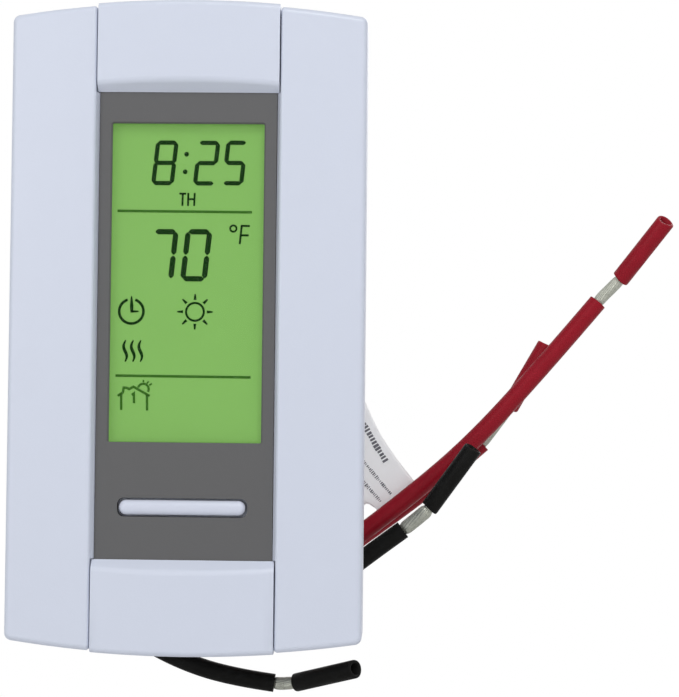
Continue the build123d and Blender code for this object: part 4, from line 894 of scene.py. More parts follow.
class Finish(Enum):
    """The finishes of the thermostat, each with its recipe."""

    CASE = MouldedPlastic("case_white", linear(206, 212, 227))
    KEYS = MouldedPlastic("key_white", linear(207, 212, 227), roughness=0.36)
    BASE = MouldedPlastic("base_white", linear(205, 209, 219), roughness=0.5, depth=0.00002)
    BEZEL = MouldedPlastic(
        "bezel_grey", linear(96, 96, 97), roughness=0.5, depth=0.000016, drift=0.05, specular=0.2
    )
    WINDOW = ClearWindow("window_clear", (0.07, 0.12, 0.05), cover=0.04)
    GLASS = DisplayGlass("display_glow", linear(134, 189, 97))
    SEGMENT = PrintedInk("segment_dark", linear(6, 46, 4))
    FAINT = PrintedInk("segment_faint", linear(58, 108, 34))
    GUIDE = MouldedPlastic("guide_milky", (0.8, 0.86, 0.78), roughness=0.25, drift=0.02)
    EMITTER = MouldedPlastic("emitter_green", (0.55, 0.8, 0.35), roughness=0.3)
    ZEBRA = StripedElastomer("contact_stripes")
    SILICONE = MouldedPlastic("silicone_grey", (0.3, 0.31, 0.33), roughness=0.6, depth=0.00002)
    CONTROL_BOARD = BoardLaminate("board_green", (0.012, 0.11, 0.045), (0.03, 0.2, 0.08), 780.0)
    POWER_BOARD = BoardLaminate("board_amber", (0.02, 0.12, 0.05), (0.045, 0.22, 0.09), 300.0)
    CHIP = BodyAndWires(
        "chip_and_legs", (0.02, 0.02, 0.022), (-8.0, -12.0, -14.0), (5.02, 0.7, 5.02), 0.45
    )
    CELL = BareMetal("cell_can", (0.75, 0.75, 0.74), (0.55, 0.55, 0.54), scale=500.0)
    CRYSTAL = BareMetal(
        "crystal_can", (0.72, 0.72, 0.72), (0.5, 0.5, 0.5), stretch=(0.2, 1.0, 1.0)
    )
    SENSOR = BodyAndWires(
        "sensor_bead", (0.015, 0.02, 0.03), (-24.5, -17.6, -55.0), (1.0, 1.3, 1.0), 0.35
    )
    PINS = BareMetal(
        "pins_gilt", (0.83, 0.65, 0.3), (0.6, 0.44, 0.18), scale=1200.0, stretch=(1.0, 0.2, 1.0)
    )
    SWITCH = MouldedPlastic("switch_black", (0.025, 0.025, 0.028), roughness=0.4)
    PLUNGER = MouldedPlastic("plunger_cream", (0.66, 0.62, 0.5), roughness=0.4)
    RELAY = MouldedPlastic("relay_blue", (0.03, 0.1, 0.3), roughness=0.35)
    COIL = BodyAndWires(
        "coil_and_core", (0.5, 0.3, 0.03), (-8.0, 3.6, -6.6), (6.05, 5.0, 8.3), 0.5
    )
    FILM_BOX = MouldedPlastic("film_yellow", (0.6, 0.42, 0.03), roughness=0.4)
    VARISTOR = BodyAndWires(
        "varistor_blue", (0.02, 0.12, 0.42), (17.5, 3.6, -6.6), (1.85, 5.2, 5.1), 0.4
    )
    SOCKET = MouldedPlastic("socket_black", (0.022, 0.022, 0.024), roughness=0.45)
    NYLON = MouldedPlastic("nylon_natural", (0.58, 0.57, 0.52), roughness=0.5, depth=0.00002)
    STEEL = BareMetal("screw_plated", (0.68, 0.68, 0.68), (0.42, 0.42, 0.43), scale=1400.0)
    # each lead's second colour is its lit colour, painted in patches as sheen and wear
    RED = WireInsulation("pvc_red", linear(140, 19, 34), linear(152, 30, 46), specular=0.13)
    BLACK = WireInsulation("pvc_black", linear(21, 21, 20), linear(34, 34, 33), specular=0.06)
    STRANDS = BareMetal(
        "strands_tinned", (0.45, 0.46, 0.4), (0.33, 0.34, 0.29), scale=1500.0, metallic=0.6
    )
    PAPER = TagPaper("label_paper", linear(249, 249, 250))
    PAPER_INK = PrintedInk("tag_ink", linear(112, 112, 118), roughness=0.8)
    LEGEND = PrintedInk("legend_grey", linear(92, 94, 100), roughness=0.6)

    @cache
    def material(self) -> Material:
        """The finish's material, built the first time it is asked for."""
        return self.value.build()


# ================================================================ carried-over nodes
# How far along y the normals look of a front face, of a slope of about 45 degrees, and of a rear
# face; and the angle between almost flat faces.
FRONT, SLOPE, REAR = -0.95, (-0.76, -0.66), 0.99
ALMOST_FLAT = 0.03


@dataclass(frozen=True)
class Dressing:
    """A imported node, its finish, and whether it shows as a smoothed copy of itself."""

    node: str
    finish: Finish
    smooth: float = 0.0
    crest: float = 0.0

    def round_crest(self, work: bmesh.types.BMesh) -> None:
        """Marks the edges between the front and a slope of about 45 degrees, to be rounded.

        Args:
            work: The mesh being edited.
        """
        weight = work.edges.layers.float.new("bevel_weight_edge")
        work.normal_update()
        for edge in work.edges:
            sides = sorted(face.normal.y for face in edge.link_faces)
            if len(sides) == 2 and sides[0] < FRONT and SLOPE[0] < sides[1] < SLOPE[1]:
                edge[weight] = 1.0

    def merge_rear(self, work: bmesh.types.BMesh) -> None:
        """Joins the long triangles of the almost flat rear into one face, which shades evenly.

        Args:
            work: The mesh being edited.
        """
        rear = [
            edge
            for edge in work.edges
            if len(edge.link_faces) == 2
            and min(face.normal.y for face in edge.link_faces) > REAR
            and edge.calc_face_angle() < ALMOST_FLAT
        ]
        bmesh.ops.dissolve_limit(work, angle_limit=0.2, verts=[], edges=rear)

    def apply(self) -> None:
        """Gives the node its finish, on a merged copy with soft shading where smooth is an angle.

        The copy rides on the node's own body; the node's slot name is only logged.
        """
        source = frame["nodes"][self.node]
        slot, material = source.data.materials[0].name, self.finish.material()
        mesh = source.data.copy() if self.smooth else source.data
        mesh.materials.clear()
        mesh.materials.append(material)
        if not self.smooth:
            LOG.info("%s keeps its solid, finish %s", self.node, material.name)
            return
        mesh.name = self.node + "_shell"
        work = bmesh.new()
        work.from_mesh(mesh)
        bmesh.ops.remove_doubles(work, verts=work.verts, dist=PACKED_WELD)
        if self.crest:
            self.round_crest(work)
            self.merge_rear(work)
        work.to_mesh(mesh)
        work.free()
        mesh.polygons.foreach_set("material_index", np.zeros(len(mesh.polygons), np.int32))
        mesh.shade_smooth()
        mesh.set_sharp_from_angle(angle=math.radians(self.smooth))
        piece = show(mesh.name, mesh)
        if self.crest:
            rounded = piece.modifiers.new("rounded_crest", "BEVEL")
            rounded.limit_method = "WEIGHT"
            rounded.width = self.crest * MM
            rounded.segments = 4
        weighted = piece.modifiers.new("even_shading", "WEIGHTED_NORMAL")
        weighted.keep_sharp = True
        declare(piece, source["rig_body"], slot, self.node)


def dress(finish: Finish, *nodes: str, smooth: float = 28.0, crest: float = 0.0) -> None:
    """Dresses several nodes alike."""
    for node in nodes:
        Dressing(node, finish, smooth, crest).apply()


@dataclass
class Casework:
    """The mouldings of the module, the door, the keys and the wall base."""

    crest: float = 0.7
    keys: Sequence[str] = ("mode", "day", "up", "hour", "minute", "down")

    def build(self) -> None:
        """Dresses every moulding."""
        dress(Finish.CASE, "front_housing")
        dress(Finish.CASE, "top_trim", "access_door", crest=self.crest)
        dress(Finish.BEZEL, "display_bezel")
        dress(Finish.WINDOW, "display_lens", smooth=0.0)
        dress(Finish.BASE, "module_back", "power_base", "base_cover")
        dress(Finish.NYLON, "lead_bushings")
        dress(Finish.KEYS, *("key_" + key for key in self.keys))


@dataclass
class Electronics:
    """Both boards and what stands on them."""

    def build(self) -> None:
        """Dresses every component, the first ones without soft shading."""
        sharp = {
            Finish.GLASS: "lcd_panel",
            Finish.GUIDE: "backlight_guide",
            Finish.EMITTER: "backlight_leds",
            Finish.ZEBRA: "contact_strips",
            Finish.CONTROL_BOARD: "control_board",
            Finish.CHIP: "microcontroller",
            Finish.PINS: "header_pins",
            Finish.POWER_BOARD: "power_board",
        }
        soft = {
            Finish.CELL: "backup_capacitor",
            Finish.CRYSTAL: "clock_crystal",
            Finish.SENSOR: "room_sensor",
            Finish.SWITCH: "bar_switch",
            Finish.PLUNGER: "bar_switch_plunger",
            Finish.SILICONE: "keypad_mat",
            Finish.RELAY: "load_relays",
            Finish.COIL: "transformer",
            Finish.FILM_BOX: "film_capacitor",
            Finish.VARISTOR: "surge_varistor",
            Finish.SOCKET: "board_socket",
            Finish.STEEL: "captive_screw",
        }
        for finish, node in sharp.items():
            dress(finish, node, smooth=0.0)
        for finish, node in soft.items():
            dress(finish, node)


@dataclass
class PillKey:
    """The bar key: a long pill with a crowned front, on its flange and stem."""

    centre: Flat = (-0.3, -35.2)
    half: Flat = (12.35, 1.45)
    corner: float = 1.4
    lip: float = 0.7
    lip_corner: float = 1.5
    stem: float = 1.7
    stem_end: float = -18.0
    flange_back: float = -18.7
    flange_face: float = -19.5
    shoulder: float = -21.3
    front: float = -22.5
    crown: float = 2.3
    sharpened: float = 0.85
    columns: int = 48
    rows: int = 14

    def ring(self, inset: float, corner: float, y: float) -> Array:
        """One outline: a rounded rectangle, as four quarter turns about its corners' centres.

        point = (+-(a - r) + r cos t, +-(b - r) + r sin t), with a and b the half sizes less the
        inset and r the corner's radius, never more than b.

        Args:
            inset: How far it is drawn in from the key's edge.
            corner: The radius of its corners.
            y: The plane that it lies in.

        Returns:
            The points, shaped (columns, 3).
        """
        across, tall = self.half[0] - inset, self.half[1] - inset
        radius = max(0.0, min(corner, tall))
        turn = turns(self.columns) + math.pi / self.columns
        x = np.sign(np.cos(turn)) * (across - radius) + radius * np.cos(turn)
        z = np.sign(np.sin(turn)) * (tall - radius) + radius * np.sin(turn)
        return join(self.centre[0] + x, y, self.centre[1] + z)

    def build(self) -> None:
        """Builds the pill as a stack of outlines, and the stem as a stack of circles.

        The front falls from the middle line by rise * (1 - (1 - s ** n) ** (1 / n)), where s is 0
        on the middle line and 1 at the edge, and n is the crown's exponent.
        """
        tall = self.half[1]
        rings = [
            self.ring(tall, 0.0, self.flange_back),
            self.ring(-self.lip, self.lip_corner, self.flange_back),
            self.ring(-self.lip, self.lip_corner, self.flange_face),
            self.ring(0.0, self.corner, self.flange_face),
        ]
        for share in np.sin(np.linspace(math.pi / 2, 0, self.rows)):
            fall = 1 - (1 - share**self.crown) ** (1 / self.crown)
            corner = self.corner * (1 - self.sharpened * (1 - share))
            y = self.front + (self.shoulder - self.front) * fall
            rings.append(self.ring(tall * (1 - share), corner, y))
        surface = Surface("bar_pill")
        surface.add_grid(np.stack(rings), ring_columns=True)
        x, z = self.centre
        radius = np.array([[0.0], [self.stem], [self.stem], [0.0]])
        y = np.repeat([self.stem_end, self.flange_back], 2)[:, None]
        across, rise = radius * np.cos(turns(32)), radius * np.sin(turns(32))
        surface.add_grid(join(x + across, y, z + rise), ring_columns=True)
        piece = surface.make(Finish.KEYS.material(), crease=50.0)
        declare(piece, "bar", "white_plastic", "bar_key")


# ================================================================ display figures
class Bar(Enum):
    """The seven bars of a figure, as start and end in shares of its width and height."""

    TOP = ((0.0, 1.0), (1.0, 1.0))
    UPPER_LEFT = ((0.0, 0.5), (0.0, 1.0))
    UPPER_RIGHT = ((1.0, 0.5), (1.0, 1.0))
    MIDDLE = ((0.0, 0.5), (1.0, 0.5))
    LOWER_LEFT = ((0.0, 0.0), (0.0, 0.5))
    LOWER_RIGHT = ((1.0, 0.0), (1.0, 0.5))
    BOTTOM = ((0.0, 0.0), (1.0, 0.0))


LEFT_OUT: dict[int, tuple[Bar, ...]] = {
    0: (Bar.MIDDLE,),
    2: (Bar.UPPER_LEFT, Bar.LOWER_RIGHT),
    5: (Bar.UPPER_RIGHT, Bar.LOWER_LEFT),
    7: (Bar.UPPER_LEFT, Bar.MIDDLE, Bar.LOWER_LEFT, Bar.BOTTOM),
    8: (),
}


@dataclass
class Drawing(Surface):
    """Flat strokes in one plane that faces the room."""

    plane: float = 0.0

    def stroke(self, path: Sequence[Flat] | Array, *width: float) -> None:
        """Adds a stroke of one width, or of the width given for each point."""
        self.add_ribbon(np.array(path, float), np.array(width) / 2, self.plane)

    def arc(self, centre: Flat, radius: float, width: float, *ends: float, steps: int = 48) -> None:
        """Adds an arc, centre + radius * (cos a, sin a).

        Args:
            centre: Its centre (x, z).
            radius: The radius of its middle line.
            width: Its width.
            ends: The first and the last angle in degrees; without them it is a full turn.
            steps: The number of straight runs in it.
        """
        angle = np.radians(np.linspace(*(ends or (0.0, 360.0)), steps + 1))
        self.stroke(np.array(centre) + radius * join(np.cos(angle), np.sin(angle)), width)


@dataclass(frozen=True)
class Figure:
    """One seven-bar figure: its value, lower left corner, size, stroke and slant."""

    value: int
    left: float
    foot: float
    width: float
    height: float
    stroke: float
    slant: float
    gap: float = 0.1

    def draw(self, ink: Drawing) -> None:
        """Adds the figure's bars.

        A bar runs between two corners of the figure, drawn in by the gap, and its two ends taper
        over half a stroke. The figure leans: x grows by slant times the height above the foot.

        Args:
            ink: Where the bars go.
        """
        half = self.stroke / 2
        inner = np.array([self.width - self.stroke, self.height - self.stroke])
        for bar in Bar:
            if bar in LEFT_OUT[self.value]:
                continue
            ends = np.array(bar.value) * inner + half
            run = unit(ends[1] - ends[0])
            start, stop = ends[0] + run * self.gap, ends[1] - run * self.gap
            taper = run * half * 0.75
            path = np.array([start - taper / 4, start + taper, stop - taper, stop + taper / 4])
            path[:, 0] += path[:, 1] * self.slant
            path += np.array([self.left, self.foot])
            ink.stroke(path, half / 2, self.stroke, self.stroke, half / 2)


@dataclass
class DisplayFigures:
    """Everything that the display shows, drawn just in front of the glass."""

    plane: float = -19.56
    figures: Sequence[Figure] = (
        Figure(8, -7.5, 28.13, 4.5, 8.88, 0.86, 0.105),
        Figure(2, 0.75, 28.13, 4.5, 8.88, 0.86, 0.105),
        Figure(5, 6.42, 28.2, 4.3, 8.88, 0.86, 0.105),
        Figure(7, -8.05, 9.18, 5.19, 10.3, 1.06, 0.1, 0.2),
        Figure(0, -1.55, 9.18, 5.3, 10.34, 1.06, 0.105, 0.2),
    )
    weekday: Sequence[Sequence[Flat]] = (
        ((-1.85, 26.5), (-0.5, 26.5)),
        ((-1.17, 26.5), (-1.22, 24.08)),
        ((-0.07, 26.66), (-0.11, 24.08)),
        ((1.18, 26.66), (1.1, 24.08)),
        ((-0.1, 25.42), (1.14, 25.42)),
    )
    scale_mark: Sequence[Sequence[Flat]] = (
        ((10.35, 20.22), (12.15, 20.22)),
        ((10.56, 20.4), (10.2, 16.62)),
        ((10.4, 18.36), (11.95, 18.36)),
    )
    rules: Sequence[Sequence[Flat]] = (
        ((-14.04, 23.01), (12.54, 22.92)),
        ((-13.98, -9.5), (12.66, -9.59)),
    )
    house: Sequence[Sequence[Flat]] = (
        (
            (-13.5, -13.5), (-12.47, -12.8), (-12.33, -11.85), (-11.71, -11.9),
            (-11.23, -12.13), (-10.4, -11.66), (-7.18, -13.45),
        ),
        ((-12.8, -13.1), (-12.76, -16.25)),
        ((-7.72, -13.2), (-7.64, -16.31)),
        ((-10.72, -13.3), (-10.3, -12.98), (-10.24, -14.9)),
    )
    house_rays: Sequence[Sequence[Flat]] = (
        ((-7.3, -11.35), (-6.75, -11.0)),
        ((-7.75, -11.0), (-7.4, -10.55)),
        ((-8.45, -10.75), (-8.45, -10.3)),
    )

    def sun(self, ink: Drawing, centre: Flat) -> None:
        """Adds a ring with eight rays that narrow outwards.

        Args:
            ink: Where it goes.
            centre: Its centre (x, z).
        """
        ink.arc(centre, 1.75, 0.44)
        for turn in turns(8):
            way = np.array([math.cos(turn), math.sin(turn)])
            ink.stroke(np.array(centre) + np.array([[2.35], [3.5]]) * way, 0.6, 0.28)

    def timer(self, ink: Drawing, x: float, z: float) -> None:
        """Adds a dial that is open at the top, with a pointed long hand and a short hand.

        Args:
            ink: Where it goes.
            x: Its centre's x.
            z: Its centre's z.
        """
        ink.arc((x, z), 2.4, 0.54, 108, 432)
        ink.stroke([(x, z + 3.0), (x + 0.06, z + 1.1), (x + 0.1, z - 0.25)], 0.26, 0.72, 0.52)
        ink.stroke([(x, z), (x + 1.45, z)], 0.52, 0.3)

    def heat(self, ink: Drawing, left: float) -> None:
        """Adds one rising wave: x = left - 0.32 * sin(turn), over a little more than one turn.

        Args:
            ink: Where it goes.
            left: The x that it sways about.
        """
        share = np.linspace(0, 1, 33)
        x = left - 0.32 * np.sin(share * math.tau * 1.05 - 0.3)
        ink.stroke(join(x, -2.5 - 4.25 * share), *(0.64 - 0.4 * (2 * share - 1) ** 2))

    def build(self) -> None:
        """Draws the dark figures and the fainter rules and home symbol."""
        dark = Drawing("display_figures", plane=self.plane)
        faint = Drawing("display_rules", plane=self.plane)
        for figure in self.figures:
            figure.draw(dark)
        for centre in ((-0.51, 34.3), (-0.75, 30.82)):
            dark.arc(centre, 0.235, 0.47, steps=32)
        dark.arc((8.9, 19.68), 0.62, 0.38, steps=32)
        self.timer(dark, -11.03, 3.18)
        self.sun(dark, (1.53, 3.2))
        for left in (-12.13, -10.63, -9.13):
            self.heat(dark, left)
        faint.arc((-8.45, -12.1), 1.05, 0.46, -30, 165, steps=24)
        for ink, width, paths in (
            (dark, 0.4, self.weekday),
            (dark, 0.42, self.scale_mark),
            (faint, 0.52, self.rules),
            (faint, 0.5, self.house),
            (faint, 0.34, self.house_rays),
        ):
            for path in paths:
                ink.stroke(path, width)
        for ink, finish in ((dark, Finish.SEGMENT), (faint, Finish.FAINT)):
            piece = ink.make(finish.material(), closed=False)
            declare(piece, "control_module", "display_glass")


@dataclass
class KeyLegends:
    """Small printed symbols on the six keys behind the door."""

    lift: float = 0.03
    width: float = 0.26

    def shapes(self) -> dict[str, list[Array]]:
        """Each key's strokes around its middle, in (x, z).

        Returns:
            The strokes by key.
        """
        turn = np.linspace(0, math.tau, 33)
        ring = join(np.cos(turn), np.sin(turn))
        arrow = np.array([(-0.75, -0.4), (0.0, 0.45), (0.75, -0.4)])
        square = [(-0.6, -0.6), (0.6, -0.6), (0.6, 0.6), (-0.6, 0.6), (-0.6, -0.6), (0.6, -0.6)]
        hand = np.array([(0.0, 0.6), (0.0, 0.0), (0.45, 0.0)])
        return {
            "key_mode": [np.array(square)],
            "key_day": [ring * 0.45, ring * 0.95],
            "key_up": [arrow],
            "key_hour": [ring * 0.95, hand],
            "key_minute": [ring * 0.95, hand * np.array([-1.0, 1.0])],
            "key_down": [arrow * np.array([1.0, -1.0])],
        }

    def build(self) -> None:
        """Prints each symbol on its key's front face."""
        for key, strokes in self.shapes().items():
            low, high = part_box(key)
            middle = np.array([low.x + high.x, low.z + high.z]) / 2 / MM
            legend = Drawing("legend_" + key, plane=low.y / MM - self.lift)
            for stroke in strokes:
                legend.stroke(stroke + middle, self.width)
            declare(legend.make(Finish.LEGEND.material(), closed=False), key, "white_plastic")


# ================================================================ screws
@dataclass
class CrossHeadScrews:
    """A set of pan-head screws with a cross recess, made of rings round their axes."""

    name: str
    node: str
    body: str
    corner: Flat
    seat: float
    outward: float
    length: float
    head: float = 4.2
    rise: float = 1.1
    arm: float = 1.15
    blade: float = 0.34
    shank: float = 2.2

    def rings(self, angle: Array) -> list[tuple[Array | float, float]]:
        """Radius and height above the seat of every ring, from the tip to the recess's bottom.

        The recess outline is a cross in polar form: arm / cos(a) near an arm, blade / sin(a)
        between arms, with a the angle to the nearest arm. The recess narrows with its depth.

        Args:
            angle: The angles of the columns.

        Returns:
            Pairs of radius and height; a radius may have a value for every angle.
        """
        nearest = np.abs((angle + math.pi / 4) % (math.pi / 2) - math.pi / 4)
        cross = np.where(
            np.tan(nearest) < self.blade / self.arm,
            self.arm / np.cos(nearest),
            self.blade / np.maximum(np.sin(nearest), 1e-6),
        )
        radius, shank = self.head / 2, self.shank / 2
        rim = self.rise * 0.96
        return [
            (0.0, -self.length),
            (shank * 0.6, -self.length),
            (shank, 0.5 - self.length),
            (shank, -0.002),
            (radius - 0.05, 0.0),
            (radius, self.rise * 0.12),
            (radius, self.rise * 0.45),
            (radius - 0.18, self.rise * 0.78),
            (radius - 0.5, self.rise * 0.88),
            (np.minimum(cross * 1.02 + 0.04, radius - 0.55), self.rise * 0.99),
            (cross, rim),
            (cross * 0.82, rim - self.arm * 0.55),
            (cross * 0.3, rim - self.arm * 0.7),
            (0.0, rim - self.arm * 0.72),
        ]

    def build(self) -> None:
        """Builds a screw at each corner: (x + r cos a, y + outward * height, z + r sin a)."""
        angle = turns(64)
        surface = Surface(self.name)
        for turn, signs in enumerate(((1, 1), (-1, 1), (-1, -1), (1, -1))):
            x, z = np.array(self.corner) * signs
            spin = angle + 0.5 * turn
            grid = [
                join(
                    x + radius * np.cos(spin),
                    self.seat + self.outward * height,
                    z + radius * np.sin(spin),
                )
                for radius, height in self.rings(angle)
            ]
            surface.add_grid(np.stack(grid), ring_columns=True)
        piece = surface.make(Finish.STEEL.material(), crease=30.0)
        declare(piece, self.body, "tinned_steel", self.node)


@dataclass
class Fasteners:
    """The three sets of machine screws."""

    sets: Sequence[CrossHeadScrews] = (
        CrossHeadScrews(
            "module_screw_set",
            "module_screws",
            "control_module",
            corner=(25.5, 50.0),
            seat=-9.8,
            outward=1.0,
            length=9.0,
            head=4.0,
            rise=0.4,
            arm=0.9,
            blade=0.27,
        ),
        CrossHeadScrews(
            "cover_screw_set", "base_cover_screws", "wall_base", (25.6, 33.6), -8.4, -1.0, 5.0
        ),
        CrossHeadScrews(
            "board_screw_set", "power_board_screws", "wall_base", (19.0, 31.0), -4.5, -1.0, 3.6
        ),
    )

    def build(self) -> None:
        """Builds each set where its node stands."""
        for screws in self.sets:
            screws.build()


# ================================================================ leads
def tube(
    name: str, routes: Sequence[Sequence[Point]], radius: float, fineness: tuple[int, int]
) -> Object:
    """Lays NURBS lines as round tubes of one object.

    Args:
        name: The object's name.
        routes: The control points of each line.
        radius: Half a tube's thickness, or nothing for bare lines.
        fineness: Steps in a span of a line, and steps in a quarter of its section.

    Returns:
        The curve object.
    """
    curve = bpy.data.curves.new(name, "CURVE")
    curve.dimensions = "3D"
    curve.resolution_u, curve.bevel_resolution = fineness
    for route in routes:
        spline = curve.splines.new("NURBS")
        spline.points.add(len(route) - 1)
        weighted = np.hstack([np.array(route) * MM, np.ones((len(route), 1))])
        spline.points.foreach_set("co", weighted.ravel())
        spline.order_u = 3
        spline.use_endpoint_u = True
    curve.bevel_depth = radius * MM
    curve.use_fill_caps = True
    return show(name, curve)


@dataclass(frozen=True)
class Lead:
    """One supply or load lead: insulation, stripped strands, and the cut sleeve left on the tip.

    Its name starts with the colour of its insulation.
    """

    name: str
    length: float
    route: Sequence[Point]
    heel: Point
    tip: Point
    swell: float = 0.2
    askew: float = 0.1
    knee: float = 1.2
    diameter: float = 3.8
    conductor: float = 2.2
    bore: float = 2.4
    sleeve: float = 16.0
    share: float = 0.8
    hidden: float = 1.0
    lobes: int = 15
    pitch: float = 42.0

    @property
    def finish(self) -> Finish:
        """The insulation's finish."""
        return Finish[self.name.split("_")[0].upper()]

    @property
    def slot(self) -> str:
        """The insulation's material slot."""
        return "insulation_" + self.name.split("_")[0]

    def middle(self) -> Array:
        """Reads the lead's middle line from its own spline.

        Returns:
            The points in millimetres.
        """
        bare = tube("bare_line", [self.route], 0.0, (16, 8))
        mesh = bpy.data.meshes.new_from_object(bare)
        points = np.zeros(len(mesh.vertices) * 3)
        mesh.vertices.foreach_get("co", points)
        curve = bare.data
        bpy.data.objects.remove(bare)
        bpy.data.curves.remove(curve)
        bpy.data.meshes.remove(mesh)
        return points.reshape(-1, 3) / MM

    def sleeve_axis(self) -> tuple[Array, Array]:
        """The sleeve's start and its direction."""
        axis = unit(np.array(self.tip) - np.array(self.heel))
        return np.array(self.tip) - axis * self.sleeve, axis

    def build_strands(self) -> Object:
        """The twisted bundle, which loosens a little where it is bare.

        radius = R * bulge * (0.92 + 0.08 * |cos(lobes / 2 * (angle - twist))| ** 0.6), where the
        twist grows evenly along the path and bulge = 1 + swell * (1 - |2 t - 1| ** 8) over the
        bare stretch, t from 0 to 1. Both ends close to a point.

        Returns:
            The bundle.
        """
        start, axis = self.sleeve_axis()
        end = np.array(self.route[-1])
        ahead = unit(end - np.array(self.route[-2]))
        inside = self.sleeve * self.share
        corners = [end - ahead * self.hidden, end + ahead * self.knee, start, start + axis * inside]
        path = eased_path(corners, spacing=0.25, window=2.4)
        travel = np.linspace(0, length_of(path), len(path))[:, None]
        angle = turns(self.lobes * 8)
        wave = np.abs(np.cos(self.lobes / 2 * (angle - travel * math.tau / self.pitch)))
        bare = travel[-1] - self.hidden - inside
        share = np.clip((travel - self.hidden) / bare, 0, 1)
        bulge = 1 + self.swell * (1 - np.abs(2 * share - 1) ** 8)
        radius = self.conductor / 2 * bulge * (0.92 + 0.08 * wave**0.6)
        radius[0] = radius[-1] = 0
        path[0] = path[1] - (path[2] - path[1]) * 1e-3
        path[-1] = path[-2] + (path[-2] - path[-3]) * 1e-3
        surface = Surface("bundle_" + self.name)
        profile = join(radius * np.cos(angle), radius * np.sin(angle))
        surface.add_grid(carry(profile, path), ring_columns=True)
        piece = surface.make(Finish.STRANDS.material(), crease=50.0)
        return declare(piece, "wall_base", "tinned_strands", "strands_" + self.name)

    def build_sleeve(self) -> Object:
        """The hollow sleeve: a rounded wall section turned about its axis.

        Both ends are cut a little unevenly: each ring is moved along the axis by
        end * (0.16 cos a + 0.07 sin 2a - 0.2), and at the tip by askew * r sin a / R more, where
        end rises from -1 at the start through 0 at the middle to 1 at the tip.

        Returns:
            The sleeve.
        """
        start, axis = self.sleeve_axis()
        outer, inner = self.diameter / 2, self.bore / 2
        outside = np.array([0, 0.12, 0.4, 5.3, 10.6, 15.6, 15.88, 16])
        along = np.concatenate([outside, [16, 15.88, 10.6, 5.3, 0.12, 0]])[:, None]
        walls = outer - np.array([0.25, 0.06, 0, 0, 0, 0, 0.06, 0.25])
        radius = np.append(walls, inner + np.array([0.12, 0, 0, 0, 0, 0.12]))[:, None]
        end = np.abs(2 * along / self.sleeve - 1) ** 6 * np.sign(along - self.sleeve / 2)
        angle = turns(56)
        wobble = 0.16 * np.cos(angle + len(self.name)) + 0.07 * np.sin(2 * angle) - 0.2
        slant = np.clip(end, 0, 1) * self.askew * radius / outer * np.sin(angle)
        side = unit(np.cross(axis, np.array([0.0, 1.0, 0.0])))
        ring = np.outer(np.cos(angle), side) + np.outer(np.sin(angle), np.cross(side, axis))
        reach = along + end * wobble + slant
        surface = Surface("offcut_" + self.name)
        grid = start + reach[..., None] * axis + radius[..., None] * ring
        surface.add_grid(grid, ring_rows=True, ring_columns=True)
        piece = surface.make(self.finish.material(), crease=50.0)
        return declare(piece, "wall_base", self.slot, "sleeve_" + self.name)

    def build(self, carried: Sequence[Object] = ()) -> None:
        """Builds the lead with its strands and its sleeve.

        Args:
            carried: Pieces built with the lead; not used.
        """
        cord = tube("cord_" + self.name, [self.route], self.diameter / 2, (16, 8))
        cord.data.materials.append(self.finish.material())
        declare(cord, "wall_base", self.slot, "lead_" + self.name)
        pieces = [self.build_strands(), self.build_sleeve(), *carried]


@dataclass
class LeadTails:
    """The ends of the four leads inside the rear box, from the bushings to the power board."""

    reds: Sequence[Point] = ((-9.6, 10.2, -17.4), (-16.0, 10.2, -17.4))
    blacks: Sequence[Point] = ((-3.1, 5.2, -23.4), (-19.0, 5.2, -23.4))
    foot: float = -30.0
    board: float = -2.9
    radius: float = 1.9
    bend: float = 2.5

    def route(self, x: float, y: float, z: float) -> list[Point]:
        """A tail's way up from its bushing, and forward at its turn to the board."""
        turn = [(x, y, z - self.bend), (x, y, z), (x, y - self.bend, z)]
        return [(x, y, self.foot), *turn, (x, self.board, z)]

    def build(self) -> None:
        """Builds the red and the black tails, which together stand for their node."""
        for colour, places in (("red", self.reds), ("black", self.blacks)):
            routes = [self.route(*place) for place in places]
            piece = tube("tails_" + colour, routes, self.radius, (10, 6))
            piece.data.materials.append(Finish[colour.upper()].material())
            declare(piece, "wall_base", "insulation_" + colour, "lead_tails")


